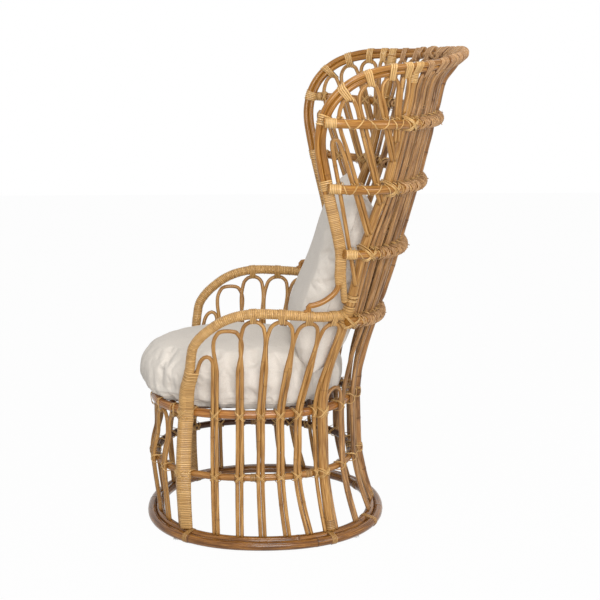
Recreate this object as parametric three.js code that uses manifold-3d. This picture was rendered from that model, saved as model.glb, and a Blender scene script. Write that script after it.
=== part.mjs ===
// Peacock chair of natural rattan poles with a loose seat cushion and back cushion.
// Millimetres, +Z up, the sitter faces -Y, the sitter's left is +X.
import * as THREE from 'three'
import * as BufferGeometryUtils from 'three/addons/utils/BufferGeometryUtils.js'
import Module from 'manifold-3d'

// Pole diameters
const fitGap = 0.3
const joinOverlap = 0.5
const floorPoleDiameter = 25
const midRingDiameter = 20
const seatRingDiameter = 25
const hairpinDiameter = 11
const armDiameter = 27
const backPoleDiameter = 26
const rearPoleDiameter = 24
const rimPoleDiameter = 14
const hoopDiameter = 24
const slatDiameter = 16
const bearerDiameter = 18

// The basket that the outer sides of all upright poles touch, level by level from the floor up.
// Each level has its height, half width, middle line, and depths to the front and to the rear of it.
// From the low hoop up, a level's height is its rise over the level below.
const footHeight = 33
const footHalfWidth = 303
const footMiddle = 0
const footFrontDepth = 309
const footRearDepth = 309
const midRingHeight = 185
const midRingHalfWidth = 272
const midRingMiddle = -25
const midRingFrontDepth = 298
const midRingRearDepth = 285
const seatRingHeight = 352
const seatRingHalfWidth = 250
const seatRingMiddle = -28
const seatRingFrontDepth = 298
const seatRingRearDepth = 282
const armHoopHeight = 612
const armHoopHalfWidth = 290
const armHoopMiddle = 80
const armHoopFrontDepth = 700
const armHoopRearDepth = 232
const lowHoopRise = 188
const lowHoopHalfWidth = 312
const lowHoopMiddle = 130
const lowHoopFrontDepth = 700
const lowHoopRearDepth = 238
const middleHoopRise = 174
const middleHoopHalfWidth = 341
const middleHoopMiddle = 150
const middleHoopFrontDepth = 600
const middleHoopRearDepth = 267
const highHoopRise = 167
const highHoopHalfWidth = 373
const highHoopMiddle = 137
const highHoopFrontDepth = 500
const highHoopRearDepth = 321
const collarRise = 84
const collarHalfWidth = 382
const collarMiddle = 139
const collarFrontDepth = 500
const collarRearDepth = 339
const crownRise = 65
const crownHalfWidth = 386
const crownMiddle = 140
const crownFrontDepth = 500
const crownRearDepth = 403
const planRoundness = 2.2
const lowHoopHeight = armHoopHeight + lowHoopRise
const middleHoopHeight = lowHoopHeight + middleHoopRise
const highHoopHeight = middleHoopHeight + highHoopRise
const collarHeight = highHoopHeight + collarRise
const crownHeight = collarHeight + crownRise

// How much lower each outside hoop runs at the rear than at its ends, and how far back its ends lie
const hoopRearDrop = 20
const armHoopEndDepth = 205
const lowHoopEndDepth = 196
const middleHoopEndDepth = 155
const highHoopEndDepth = 142

// Base
const footOverhang = 3
const glideDiameter = 16
const glideHeight = 4
const glideShares = [0.235, 0.765]

// Upright poles, as shares of the way from the rear centre round to the front centre:
// at the foot, at the middle ring and at the seat ring
const frontPostShares = [0.75, 0.727, 0.711]
const backPoleShares = [0.31, 0.293, 0.292]
const sidePairShares = [
  [0.644, 0.622, 0.617],
  [0.575, 0.55, 0.544],
  [0.511, 0.489, 0.483],
  [0.442, 0.428, 0.424],
  [0.378, 0.376, 0.368],
]
const frontPairShares = [
  [0.833, 0.815, 0.806],
  [0.917, 0.908, 0.903],
  [1, 1, 1],
]

// Heights above the seat are shares of the levels: 3 is the arm hoop, 4 the low hoop, and so on up.

// Arms: the line of the wrapped pole above the seat, front to rear
const postTopShare = 2.492
const armLineDepths = [-200, -187, -152, -104, -40, 60, 140]
const armLineHeightShares = [2.492, 2.762, 2.915, 3.053, 3.144, 3.133, 3.096]
const armRearShare = 3.064

// Arches under the arm
const armPairDepths = [-131, -67, 1, 71, 136]
const armPairHeightShare = 2.8
const armArchReach = 34
const armLegTopShares = [2.52, 2.896, 2.915, 2.915, 2.896, 2.885]

// Back pole: height and depth above the seat, up to the rim
const backPoleHeightShares = [2.377, 2.896, 3.239, 3.984, 4.575, 5.156, 5.754, 6.702, 7.569]
const backPoleDepths = [168, 211, 228, 259, 293, 326, 349, 374, 388]

// How far the middle of the rear pole stands out from the basket, so that the hoops are let into it
const rearPoleStandOut = 6

// Rim: middle line between its two poles, up the wing and then over the crown
const rimWingHeightShares = [3.681, 4, 4.46, 5.036, 5.635, 5.874, 6.226, 6.702, 7.2]
const rimWingDepths = [194, 194, 177, 153, 136, 138, 149, 174, 222]
const rimCrownShares = [0.365, 0.28, 0.2, 0.1]
const rimCrownHeightShares = [7.569, 7.662, 7.754, 7.862]
const rimRearHeightShare = 7.908
const innerRimEndHeightShare = 3.277
const innerRimEndDepth = 208

// Curved brace from the wing down to the top of the arm
const braceDepths = [84, 112, 140, 170, 188]
const braceHeightShares = [3.223, 3.255, 3.293, 3.383, 3.5]

// Wing hairpins: where each pair leaves the rim, and where it meets the back pole
const wingPairTopDepths = [178, 228, 285, 338]
const wingPairTopShares = [5.952, 6.524, 6.857, 7]
const wingPairEndShares = [4.391, 4.862, 5.515, 5.826]
const wingFirstTopDepth = 168
const wingFirstTopShare = 5.551
const wingFirstEndShare = 3.654
const wingLastEndShare = 6.512
const wingArchReach = 34

// Back hairpins
const backArchCount = 12
const backArchTopShare = 6.964
const backArchReach = 44
// Legs of each back pair, from the sitter's left, that run on down to the floor ring
const longLegs = [
  'none', 'none', 'right', 'none', 'both', 'none', 'both', 'none', 'both', 'none', 'left', 'none', 'none',
]
const rearArchLegShare = 2.108
const rearArchReach = 28
const skirtArchReach = 34

// Room between a thick pole and the hairpin leg beside it
const standOff = 1.5

// Seat deck
const slatCount = 8
const slatPitch = 62
const bearerSpacing = 200

// Seat cushion
const seatCushionHalfWidth = 228
const seatCushionMiddle = -45
const seatCushionFrontDepth = 302
const seatCushionRearDepth = 262
const seatCushionThickness = 157
const seatCushionRadiusShares = [0.46, 0.86, 0.94, 0.985, 1, 0.99, 0.945, 0.9, 0.78, 0.58, 0.3]
const seatCushionHeightShares = [0, 0, 0.043, 0.154, 0.324, 0.54, 0.716, 0.8, 0.915, 0.975, 0.995]
const seatCushionRearDropShare = 0.16

// Back cushion
const backCushionWidth = 480
const backCushionHeight = 496
const backCushionThickness = 178
const backCushionDrawShare = 0.05
const backCushionTaperShare = 0.1
const backCushionDepth = 184
const backCushionRise = 348
const backCushionLeanDegrees = 15.5

// Facets
const poleSides = 8
const hairpinSides = 6
const glideSides = 12
const ringSteps = 32
const hoopSteps = 22
const armSteps = 15
const archSteps = 6
const cushionSteps = 34
const pillowSteps = 14

const wasm = await Module()
wasm.setup()

const rattan = new THREE.MeshStandardMaterial({ color: 0xb07a3e, roughness: 0.38, metalness: 0 })
const darkRattan = new THREE.MeshStandardMaterial({ color: 0x8a5426, roughness: 0.35, metalness: 0 })
const wrapped = new THREE.MeshStandardMaterial({ color: 0xc9975a, roughness: 0.45, metalness: 0 })
const linen = new THREE.MeshStandardMaterial({ color: 0xe4dfd6, roughness: 0.9, metalness: 0 })
const clear = new THREE.MeshStandardMaterial({ color: 0xd8d8d4, roughness: 0.25, metalness: 0 })

const chair = new THREE.Group()

// The basket surface

function level(height, halfWidth, middle, front, rear) {
  return { height, halfWidth, middle, front, rear }
}

const levels = [
  level(footHeight, footHalfWidth, footMiddle, footFrontDepth, footRearDepth),
  level(midRingHeight, midRingHalfWidth, midRingMiddle, midRingFrontDepth, midRingRearDepth),
  level(seatRingHeight, seatRingHalfWidth, seatRingMiddle, seatRingFrontDepth, seatRingRearDepth),
  level(armHoopHeight, armHoopHalfWidth, armHoopMiddle, armHoopFrontDepth, armHoopRearDepth),
  level(lowHoopHeight, lowHoopHalfWidth, lowHoopMiddle, lowHoopFrontDepth, lowHoopRearDepth),
  level(middleHoopHeight, middleHoopHalfWidth, middleHoopMiddle, middleHoopFrontDepth, middleHoopRearDepth),
  level(highHoopHeight, highHoopHalfWidth, highHoopMiddle, highHoopFrontDepth, highHoopRearDepth),
  level(collarHeight, collarHalfWidth, collarMiddle, collarFrontDepth, collarRearDepth),
  level(crownHeight, crownHalfWidth, crownMiddle, crownFrontDepth, crownRearDepth),
]
const levelHeights = levels.map((entry) => entry.height)
const baseHeights = levelHeights.slice(0, 3)

// Height for a share of the levels: whole numbers are the levels, from 0 at the foot
function heightAt(share) {
  const k = Math.min(Math.floor(share), levelHeights.length - 2)
  return levelHeights[k] + (share - k) * (levelHeights[k + 1] - levelHeights[k])
}

const postTopHeight = heightAt(postTopShare)
const armPairHeight = heightAt(armPairHeightShare)
const backPoleHeights = backPoleHeightShares.map(heightAt)

// Smooth curve through values at given places, never past them, with a straight run beyond both ends
function smoothThrough(places, values, place) {
  const last = places.length - 1
  let i = 0
  while (i < last - 1 && place > places[i + 1]) i += 1
  const run = (k) => (values[k + 1] - values[k]) / (places[k + 1] - places[k])
  const slope = (k) => {
    if (k === 0) return run(0)
    if (k === last) return run(last - 1)
    const product = run(k - 1) * run(k)
    return product > 0 ? 2 * product / (run(k - 1) + run(k)) : 0
  }
  if (place <= places[0]) return values[0] + slope(0) * (place - places[0])
  if (place >= places[last]) return values[last] + slope(last) * (place - places[last])
  const span = places[i + 1] - places[i]
  const t = (place - places[i]) / span
  const rise = t * t * (3 - 2 * t)
  const out = t * (1 - t) * (1 - t) * span
  const into = t * t * (t - 1) * span
  return values[i] + (values[i + 1] - values[i]) * rise + slope(i) * out + slope(i + 1) * into
}

function planAt(height) {
  const plan = {}
  for (const key of ['halfWidth', 'middle', 'front', 'rear']) {
    plan[key] = smoothThrough(levelHeights, levels.map((entry) => entry[key]), height)
  }
  return plan
}

// Point of the basket at a height, turned by a share of the way from rear centre to front centre
function onBasket(height, share) {
  const plan = planAt(height)
  const across = Math.sin(share * Math.PI)
  const along = Math.cos(share * Math.PI)
  const sum = Math.abs(across) ** planRoundness + Math.abs(along) ** planRoundness
  const stretch = sum ** (-1 / planRoundness)
  const depth = along > 0 ? plan.rear : plan.front
  return new THREE.Vector3(plan.halfWidth * across * stretch, plan.middle + depth * along * stretch, height)
}

// Share round the basket at which a depth is reached, found by halving
function shareAtDepth(height, depth) {
  let low = 0
  let high = 1
  for (let i = 0; i < 40; i += 1) {
    const middle = (low + high) / 2
    if (onBasket(height, middle).y > depth) low = middle
    else high = middle
  }
  return (low + high) / 2
}

// Outward direction of the basket, square to its slope
function outwardAt(height, share) {
  const step = fitGap
  const tiny = step / footHalfWidth
  const up = onBasket(height + step, share).sub(onBasket(height - step, share))
  const round = onBasket(height, share + tiny).sub(onBasket(height, share - tiny))
  return new THREE.Vector3().crossVectors(up, round).normalize()
}

// Share of the basket beside a point, and the outward direction there
function shareNear(point) {
  const plan = planAt(point.z)
  const along = point.y - plan.middle
  const depth = along > 0 ? plan.rear : plan.front
  return Math.atan2(point.x / plan.halfWidth, along / depth) / Math.PI
}

function outwardNear(point) {
  return outwardAt(point.z, shareNear(point))
}

// Centre of a pole at a height, inside the basket surface by an inset square to it
function inside(height, share, inset) {
  const flat = outwardAt(height, share).setZ(0)
  const slope = 1 / flat.length()
  return onBasket(height, share).addScaledVector(flat.normalize(), -inset * slope)
}

// Share that lies a distance further round the basket
function shareBeside(height, share, distance) {
  const tiny = fitGap / footHalfWidth
  const speed = onBasket(height, share + tiny).distanceTo(onBasket(height, share - tiny)) / (2 * tiny)
  return share + distance / speed
}

// The place at an inset from the basket that lies nearest to a point at its height
function settled(point, inset) {
  const up = new THREE.Vector3(0, 0, 1)
  let share = shareNear(point)
  for (let i = 0; i < 4; i += 1) {
    const round = new THREE.Vector3().crossVectors(outwardAt(point.z, share), up).normalize()
    const off = point.clone().sub(inside(point.z, share, inset))
    share = shareBeside(point.z, share, off.dot(round))
  }
  return inside(point.z, share, inset)
}

// Tubes

// Distance from the centre of a pole to its flat faces
function flatReach(diameter, sides) {
  return diameter / 2 * Math.cos(Math.PI / sides)
}

const hairpinReach = flatReach(hairpinDiameter, hairpinSides)
const backPoleReach = flatReach(backPoleDiameter, poleSides)
const rearPoleReach = flatReach(rearPoleDiameter, poleSides)
const armReach = flatReach(armDiameter, poleSides)
const rimReach = flatReach(rimPoleDiameter, poleSides)
const floorReach = flatReach(floorPoleDiameter, poleSides)
const seatReach = flatReach(seatRingDiameter, poleSides)

// Distance from the centre of a level pole to a plane that leans against it
function leaningReach(diameter, sides, out) {
  const lean = Math.asin(Math.abs(out.z))
  return diameter / 2 * Math.cos(Math.PI / sides - lean)
}

// Round pole along points, its flat faces turned to the outward directions
// A level end stands on a ring
function tube(points, outward, diameter, sides, ends = {}) {
  const { closed = false, levelStart = false, levelEnd = false } = ends
  const count = points.length
  const positions = []
  const indices = []
  for (let i = 0; i < count; i += 1) {
    const before = points[closed ? (i + count - 1) % count : Math.max(i - 1, 0)]
    const after = points[closed ? (i + 1) % count : Math.min(i + 1, count - 1)]
    const forward = after.clone().sub(before).normalize()
    const out = outward[i].clone().addScaledVector(forward, -outward[i].dot(forward)).normalize()
    const side = new THREE.Vector3().crossVectors(forward, out)
    const isLevel = (levelStart && i === 0) || (levelEnd && i === count - 1)
    for (let k = 0; k < sides; k += 1) {
      const turn = (k + 1 / 2) * 2 * Math.PI / sides
      const corner = points[i].clone()
      corner.addScaledVector(out, diameter / 2 * Math.cos(turn))
      corner.addScaledVector(side, diameter / 2 * Math.sin(turn))
      if (isLevel) corner.addScaledVector(forward, (points[i].z - corner.z) / forward.z)
      positions.push(corner.x, corner.y, corner.z)
    }
  }
  const runs = closed ? count : count - 1
  for (let i = 0; i < runs; i += 1) {
    const here = i * sides
    const next = ((i + 1) % count) * sides
    for (let k = 0; k < sides; k += 1) {
      const m = (k + 1) % sides
      indices.push(here + k, here + m, next + m, here + k, next + m, next + k)
    }
  }
  if (!closed) {
    const top = (count - 1) * sides
    for (let k = 1; k < sides - 1; k += 1) {
      indices.push(0, k + 1, k)
      indices.push(top, top + k, top + k + 1)
    }
  }
  const geometry = new THREE.BufferGeometry()
  geometry.setAttribute('position', new THREE.Float32BufferAttribute(positions, 3))
  geometry.setIndex(indices)
  return geometry
}

function smoothLine(points, steps) {
  return new THREE.CatmullRomCurve3(points, false, 'centripetal').getSpacedPoints(steps)
}

// Pole along a line that lies in the basket surface
function bentPole(line, diameter) {
  return tube(line, line.map(outwardNear), diameter, poleSides)
}

function add(name, geometry, material) {
  const shaded = geometry.toNonIndexed()
  shaded.computeVertexNormals()
  const mesh = new THREE.Mesh(shaded, material)
  mesh.name = name
  chair.add(mesh)
}

function mirrored(geometry) {
  const copy = geometry.clone()
  copy.scale(-1, 1, 1)
  const index = Array.from(geometry.index.array)
  const turned = []
  for (let i = 0; i < index.length; i += 3) {
    turned.push(index[i], index[i + 2], index[i + 1])
  }
  copy.setIndex(turned)
  return copy
}

// The same piece on both sides of the chair
function addPair(name, geometry, material, ending = '') {
  add(`${name}_left${ending}`, geometry, material)
  add(`${name}_right${ending}`, mirrored(geometry), material)
}

function toSolid(geometry) {
  const bare = geometry.clone()
  bare.deleteAttribute('normal')
  bare.deleteAttribute('uv')
  const merged = BufferGeometryUtils.mergeVertices(bare)
  const vertProperties = new Float32Array(merged.attributes.position.array)
  const triVerts = new Uint32Array(merged.index.array)
  return new wasm.Manifold(new wasm.Mesh({ numProp: 3, vertProperties, triVerts }))
}

function fromSolid(solid) {
  const mesh = solid.getMesh()
  const geometry = new THREE.BufferGeometry()
  geometry.setAttribute('position', new THREE.Float32BufferAttribute(mesh.vertProperties, 3))
  geometry.setIndex(Array.from(mesh.triVerts))
  return geometry
}

// Cut one piece by another and keep the main body
function cutBy(geometry, cutter) {
  const bodies = toSolid(geometry).subtract(toSolid(cutter)).decompose()
  return fromSolid(bodies.sort((a, b) => b.volume() - a.volume())[0])
}

// Rings of the base, lying level inside or outside the uprights

const outerFloorInset = fitGap - floorReach
const innerFloorInset = outerFloorInset + 2 * floorReach + fitGap
const footInset = innerFloorInset - footOverhang
const uprightDepth = 2 * hairpinReach

// Floor pole at an inset from the line of the feet
function floorRing(height, inset) {
  const points = []
  const outward = []
  for (let i = 0; i < ringSteps; i += 1) {
    const share = 2 * (i + 1 / 2) / ringSteps
    const flat = outwardAt(footHeight, share).setZ(0).normalize()
    points.push(onBasket(footHeight, share).addScaledVector(flat, -inset).setZ(height))
    outward.push(flat)
  }
  return tube(points, outward, floorPoleDiameter, poleSides, { closed: true })
}

// Ring that all uprights touch from outside
function insideRing(height, diameter) {
  const points = []
  const outward = []
  for (let i = 0; i < ringSteps; i += 1) {
    const share = 2 * (i + 1 / 2) / ringSteps
    const out = outwardAt(height, share)
    const inset = uprightDepth + fitGap + leaningReach(diameter, poleSides, out)
    const flat = new THREE.Vector3(out.x, out.y, 0)
    const slope = 1 / flat.length()
    flat.normalize()
    points.push(onBasket(height, share).addScaledVector(flat, -inset * slope))
    outward.push(flat)
  }
  return tube(points, outward, diameter, poleSides, { closed: true })
}

function addBaseRings() {
  const outerHeight = glideHeight + fitGap + floorReach
  const innerHeight = footHeight - fitGap - floorReach
  add('floor_ring_outer', floorRing(outerHeight, outerFloorInset), darkRattan)
  add('floor_ring_inner', floorRing(innerHeight, innerFloorInset), darkRattan)
  add('mid_ring', insideRing(midRingHeight, midRingDiameter), darkRattan)
  add('seat_ring', insideRing(seatRingHeight, seatRingDiameter), darkRattan)
}

function addGlides() {
  const names = ['rear', 'front']
  glideShares.forEach((share, i) => {
    const place = onBasket(footHeight, share)
    const out = outwardAt(footHeight, share).setZ(0).normalize()
    place.addScaledVector(out, -outerFloorInset)
    const glide = new THREE.CylinderGeometry(glideDiameter / 2, glideDiameter / 2, glideHeight, glideSides)
    glide.rotateX(Math.PI / 2)
    glide.translate(place.x, place.y, glideHeight / 2)
    addPair(`glide_${names[i]}`, fromSolid(toSolid(glide)), clear)
  })
}

// Thick posts: the arm with its front post, and the back pole

function frontPostShare(height) {
  const heights = [...baseHeights, postTopHeight]
  const shares = [...frontPostShares, shareAtDepth(postTopHeight, armLineDepths[0])]
  return smoothThrough(heights, shares, height)
}

function backPoleShare(height) {
  const upper = backPoleHeights.map((place, i) => shareAtDepth(place, backPoleDepths[i]))
  return smoothThrough([...baseHeights, ...backPoleHeights], [...backPoleShares, ...upper], height)
}

// Inset of a thick post: standing on the inner floor ring, outside both rings, then in line above
function postInset(height, reach, upperInset) {
  const heights = [...baseHeights, postTopHeight, armHoopHeight]
  const outside = uprightDepth - reach
  return smoothThrough(heights, [footInset, outside, outside, upperInset, upperInset], height)
}

function frontPostPoint(height) {
  return inside(height, frontPostShare(height), postInset(height, armReach, hairpinReach))
}

function backPolePoint(height) {
  return inside(height, backPoleShare(height), postInset(height, backPoleReach, backPoleReach))
}

// Heights with one more half way between each two
function halved(heights) {
  const all = []
  heights.forEach((height, i) => {
    if (i > 0) all.push((heights[i - 1] + height) / 2)
    all.push(height)
  })
  return all
}

// The post comes straight up the basket, then bends over as the arm and runs back to the back pole
function armLine() {
  const post = halved([...baseHeights, postTopHeight]).map(frontPostPoint)
  const bend = [post[post.length - 1]]
  armLineHeightShares.slice(1).map(heightAt).forEach((height, i) => {
    bend.push(inside(height, shareAtDepth(height, armLineDepths[i + 1]), hairpinReach))
  })
  bend.push(backPolePoint(heightAt(armRearShare)))
  return [...post.slice(0, -1), ...smoothLine(bend, armSteps)]
}

function backPoleLine() {
  const keys = [...baseHeights, postTopHeight, ...levelHeights.slice(3, 8), ...backPoleHeights.slice(-1)]
  return halved(keys).map(backPolePoint)
}

function rearPolePoint(height) {
  return inside(height, 0, postInset(height, rearPoleReach, -rearPoleStandOut))
}

function rearPoleLine() {
  const keys = [...baseHeights, postTopHeight, ...levelHeights.slice(3, 8), ...backPoleHeights.slice(-1)]
  return halved(keys).map(rearPolePoint)
}

// Pole that starts from a level cut on the floor ring
function standingPole(line, diameter) {
  return tube(line, line.map(outwardNear), diameter, poleSides, { levelStart: true })
}

// Rim: two poles side by side from one wing over the crown to the other

function rimMiddleLine() {
  const points = []
  rimWingHeightShares.map(heightAt).forEach((height, i) => {
    points.push(inside(height, shareAtDepth(height, rimWingDepths[i]), rimReach))
  })
  rimCrownShares.forEach((share, i) => {
    points.push(inside(heightAt(rimCrownHeightShares[i]), share, rimReach))
  })
  return points
}

// Line beside another in the basket surface, on its right hand for a positive distance
function beside(points, distance) {
  return points.map((point, i) => {
    const before = points[Math.max(i - 1, 0)]
    const after = points[Math.min(i + 1, points.length - 1)]
    const forward = after.clone().sub(before).normalize()
    const side = new THREE.Vector3().crossVectors(forward, outwardNear(point)).normalize()
    return point.clone().addScaledVector(side, distance)
  })
}

// Upright line of a leg, beside the places that the shares give at each height
function legLine(heights, shares, insets, distance) {
  const points = heights.map((height, i) => inside(height, shares[i], insets[i]))
  const moved = beside(points, distance)
  return moved.map((point, i) => {
    const before = points[Math.max(i - 1, 0)]
    const after = points[Math.min(i + 1, points.length - 1)]
    const forward = after.clone().sub(before)
    point.addScaledVector(forward, (heights[i] - point.z) / forward.z).setZ(heights[i])
    return settled(point, insets[i])
  })
}

// Both rim poles have a point at the middle of each step, so that they run evenly side by side
function rimLine(distance, tail) {
  const half = [...tail, ...beside(rimMiddleLine(), distance)]
  const rear = inside(heightAt(rimRearHeightShare) - distance, 0, rimReach)
  const other = half.map((point) => new THREE.Vector3(-point.x, point.y, point.z)).reverse()
  const places = [...half, rear, ...other]
  const curve = new THREE.CatmullRomCurve3(places, false, 'centripetal')
  return curve.getPoints(2 * (places.length - 1))
}

const rimApart = rimReach + 2 * fitGap

function outerRimLine() {
  const heights = braceHeightShares.map(heightAt)
  const tail = heights.map((height, i) => inside(height, shareAtDepth(height, braceDepths[i]), rimReach))
  return rimLine(-rimApart, tail)
}

function innerRimLine() {
  const height = heightAt(innerRimEndHeightShare)
  const end = inside(height, shareAtDepth(height, innerRimEndDepth), rimReach)
  return rimLine(rimApart, [end])
}

function addFrame() {
  const outerRim = bentPole(outerRimLine(), rimPoleDiameter)
  const innerRim = bentPole(innerRimLine(), rimPoleDiameter)
  const innerRimCutter = bentPole(innerRimLine(), rimPoleDiameter + 2 * fitGap)
  const backPole = standingPole(backPoleLine(), backPoleDiameter)
  const backPoleCutter = bentPole(backPoleLine(), backPoleDiameter + 2 * fitGap)
  const arm = standingPole(armLine(), armDiameter)
  const armCutter = bentPole(armLine(), armDiameter + 2 * fitGap)
  addPair('arm', cutBy(arm, backPoleCutter), wrapped)
  addPair('back_pole', cutBy(backPole, innerRimCutter), rattan)
  const braced = cutBy(cutBy(outerRim, armCutter), mirrored(armCutter))
  add('rim_outer', braced, rattan)
  const footed = cutBy(cutBy(innerRim, backPoleCutter), mirrored(backPoleCutter))
  add('rim_inner', footed, rattan)
}

// Hoops outside the back

function hoopHeightAt(height, share, endShare) {
  return height - hoopRearDrop * Math.cos(Math.min(Math.abs(share) / endShare, 1) * Math.PI / 2)
}

function hoop(height, endDepth, diameter) {
  const endShare = shareAtDepth(height, endDepth)
  const points = []
  const outward = []
  for (let i = 0; i <= hoopSteps; i += 1) {
    const share = (2 * i / hoopSteps - 1) * endShare
    const place = onBasket(hoopHeightAt(height, share, endShare), share)
    const flat = outwardAt(place.z, share).setZ(0)
    const slope = 1 / flat.length()
    flat.normalize()
    const plan = planAt(height)
    const bow = plan.halfWidth * (1 - Math.cos(endShare * Math.PI / hoopSteps))
    points.push(place.addScaledVector(flat, (hoopDiameter / 2 + fitGap + bow) * slope))
    outward.push(flat)
  }
  return tube(points, outward, diameter, poleSides)
}

const hoops = [
  ['hoop_arm', armHoopHeight, armHoopEndDepth],
  ['hoop_low', lowHoopHeight, lowHoopEndDepth],
  ['hoop_middle', middleHoopHeight, middleHoopEndDepth],
  ['hoop_high', highHoopHeight, highHoopEndDepth],
]

function addHoops() {
  for (const [name, height, depth] of hoops) add(name, hoop(height, depth, hoopDiameter), rattan)
}

// The thick pole up the middle of the rear, let in where each hoop crosses it
function addRearPole() {
  let pole = standingPole(rearPoleLine(), rearPoleDiameter)
  for (const [, height, depth] of hoops) pole = cutBy(pole, hoop(height, depth, hoopDiameter + 2 * fitGap))
  add('rear_pole', cutBy(pole, bentPole(innerRimLine(), rimPoleDiameter + 2 * fitGap)), rattan)
}

// Hairpins: two legs joined by an arch at the top

const quarters = [0, 1, 2, 3, 4].map((part) => part / 4)

function uprightInset(height) {
  return smoothThrough(baseHeights, [footInset, hairpinReach, hairpinReach], height)
}

function distanceToLine(point, line) {
  const nearest = new THREE.Vector3()
  let least = Infinity
  for (let i = 1; i < line.length; i += 1) {
    new THREE.Line3(line[i - 1], line[i]).closestPointToPoint(point, true, nearest)
    least = Math.min(least, nearest.distanceTo(point))
  }
  return least
}

// Arch from the top of one leg to the top of the other; with an inset, it follows the basket
function archPoints(first, second, reach, inset) {
  const end = first[first.length - 1]
  const start = second[second.length - 1]
  const middle = end.clone().add(start).divideScalar(2)
  const half = start.clone().sub(end).divideScalar(2)
  const rise = end.clone().sub(first[first.length - 2]).normalize()
  rise.add(start.clone().sub(second[second.length - 2]).normalize()).normalize()
  const points = []
  for (let i = 1; i < archSteps; i += 1) {
    const turn = i * Math.PI / archSteps
    const point = middle.clone().addScaledVector(half, -Math.cos(turn))
    point.addScaledVector(rise, reach * Math.sin(turn))
    points.push(inset ? settled(point, inset) : point)
  }
  return points
}

// Largest reach, up to a limit, that keeps the arch clear of the pole above it
function reachUnder(first, second, limit, overhead, clearance, inset) {
  const isClear = (reach) => archPoints(first, second, reach, inset).every(
    (point) => distanceToLine(point, overhead) > clearance)
  if (isClear(limit)) return limit
  let low = 0
  let high = limit
  for (let i = 0; i < 20; i += 1) {
    const middle = (low + high) / 2
    if (isClear(middle)) low = middle
    else high = middle
  }
  return low
}

// Hairpin over two legs; a leg that starts at the foot height stands level on the floor ring
function hairpin(first, second, reach, inset) {
  const line = [...first, ...archPoints(first, second, reach, inset), ...second.slice().reverse()]
  const ends = { levelStart: first[0].z === footHeight, levelEnd: second[0].z === footHeight }
  return tube(line, line.map(outwardNear), hairpinDiameter, hairpinSides, ends)
}

const pairOffset = (hairpinDiameter + fitGap) / 2
const besideArm = armReach + hairpinDiameter / 2 + standOff
const besideBackPole = backPoleReach + hairpinDiameter / 2 + standOff
const besideRearPole = rearPoleReach + hairpinDiameter / 2 + standOff

// Arm hairpins

// Above the seat the depth changes evenly, so that the pair looks straight from the side
function sidePairShare(index, height) {
  const seatHeight = baseHeights[baseHeights.length - 1]
  if (height > seatHeight) {
    const start = onBasket(seatHeight, sidePairShares[index][baseHeights.length - 1]).y
    const part = (height - seatHeight) / (armPairHeight - seatHeight)
    return shareAtDepth(height, start + (armPairDepths[index] - start) * part)
  }
  const armShare = shareAtDepth(armPairHeight, armPairDepths[index])
  return smoothThrough([...baseHeights, armPairHeight], [...sidePairShares[index], armShare], height)
}

function uprightLeg(shareAt, keys, distance) {
  const heights = halved([...baseHeights, ...keys])
  return legLine(heights, heights.map(shareAt), heights.map(uprightInset), distance)
}

function armLeg(pair, topHeight, side) {
  if (pair === 0) return uprightLeg(frontPostShare, [topHeight], besideArm)
  if (pair > armPairDepths.length) {
    return uprightLeg(backPoleShare, [postTopHeight, topHeight], -besideBackPole)
  }
  return uprightLeg((height) => sidePairShare(pair - 1, height), [topHeight], side * pairOffset)
}

function addArmHairpins() {
  const overhead = armLine()
  const clearance = (armDiameter + hairpinDiameter) / 2 + fitGap
  armLegTopShares.map(heightAt).forEach((topHeight, i) => {
    const front = armLeg(i, topHeight, 1)
    const rear = armLeg(i + 1, topHeight, -1)
    const reach = reachUnder(front, rear, armArchReach, overhead, clearance)
    addPair('arm_hairpin', hairpin(front, rear, reach), rattan, `_${i + 1}`)
  })
}

// Wing hairpins, leaning back from the rim to the back pole

// Leg from a height beside the back pole to a place on the wing, straight as seen from the side
function leaningLeg(endHeight, endOffset, topHeight, topDepth, distance) {
  const endShare = shareBeside(endHeight, backPoleShare(endHeight), endOffset)
  const endDepth = onBasket(endHeight, endShare).y
  const heights = quarters.map((part) => endHeight + (topHeight - endHeight) * part)
  const shares = heights.map((height, i) => shareAtDepth(height, endDepth + (topDepth - endDepth) * quarters[i]))
  return legLine(heights, shares, heights.map(uprightInset), distance)
}

function wingPairLeg(index, side) {
  const offset = besideBackPole + pairOffset
  const topHeight = heightAt(wingPairTopShares[index])
  const endHeight = heightAt(wingPairEndShares[index])
  return leaningLeg(endHeight, offset, topHeight, wingPairTopDepths[index], side * pairOffset)
}

function addWingHairpins() {
  const overhead = innerRimLine()
  const clearance = rimReach + hairpinDiameter / 2 + fitGap
  const last = wingPairTopShares.length - 1
  const firstEnds = [wingFirstEndShare, wingFirstTopShare].map(heightAt)
  const first = leaningLeg(firstEnds[0], besideBackPole, firstEnds[1], wingFirstTopDepth, 0)
  const ends = halved([wingLastEndShare, wingPairTopShares[last]].map(heightAt))
  const besidePole = legLine(ends, ends.map(backPoleShare), ends.map(uprightInset), -besideBackPole)
  for (let i = 0; i <= last + 1; i += 1) {
    const front = i === 0 ? first : wingPairLeg(i - 1, 1)
    let rear = i > last ? besidePole : wingPairLeg(i, -1)
    if (i === 0) rear = rear.slice(0, -1)
    const reach = reachUnder(front, rear, wingArchReach, overhead, clearance)
    addPair('wing_hairpin', hairpin(front, rear, reach), rattan, `_${i + 1}`)
  }
}

// Back hairpins, fanning out from the arm hoop to the crown

// Shares of the pairs, evenly spread between the back poles; the outermost lie on the poles themselves
function backPairShare(index, height) {
  return backPoleShare(height) * (1 - 2 * index / backArchCount)
}

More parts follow.
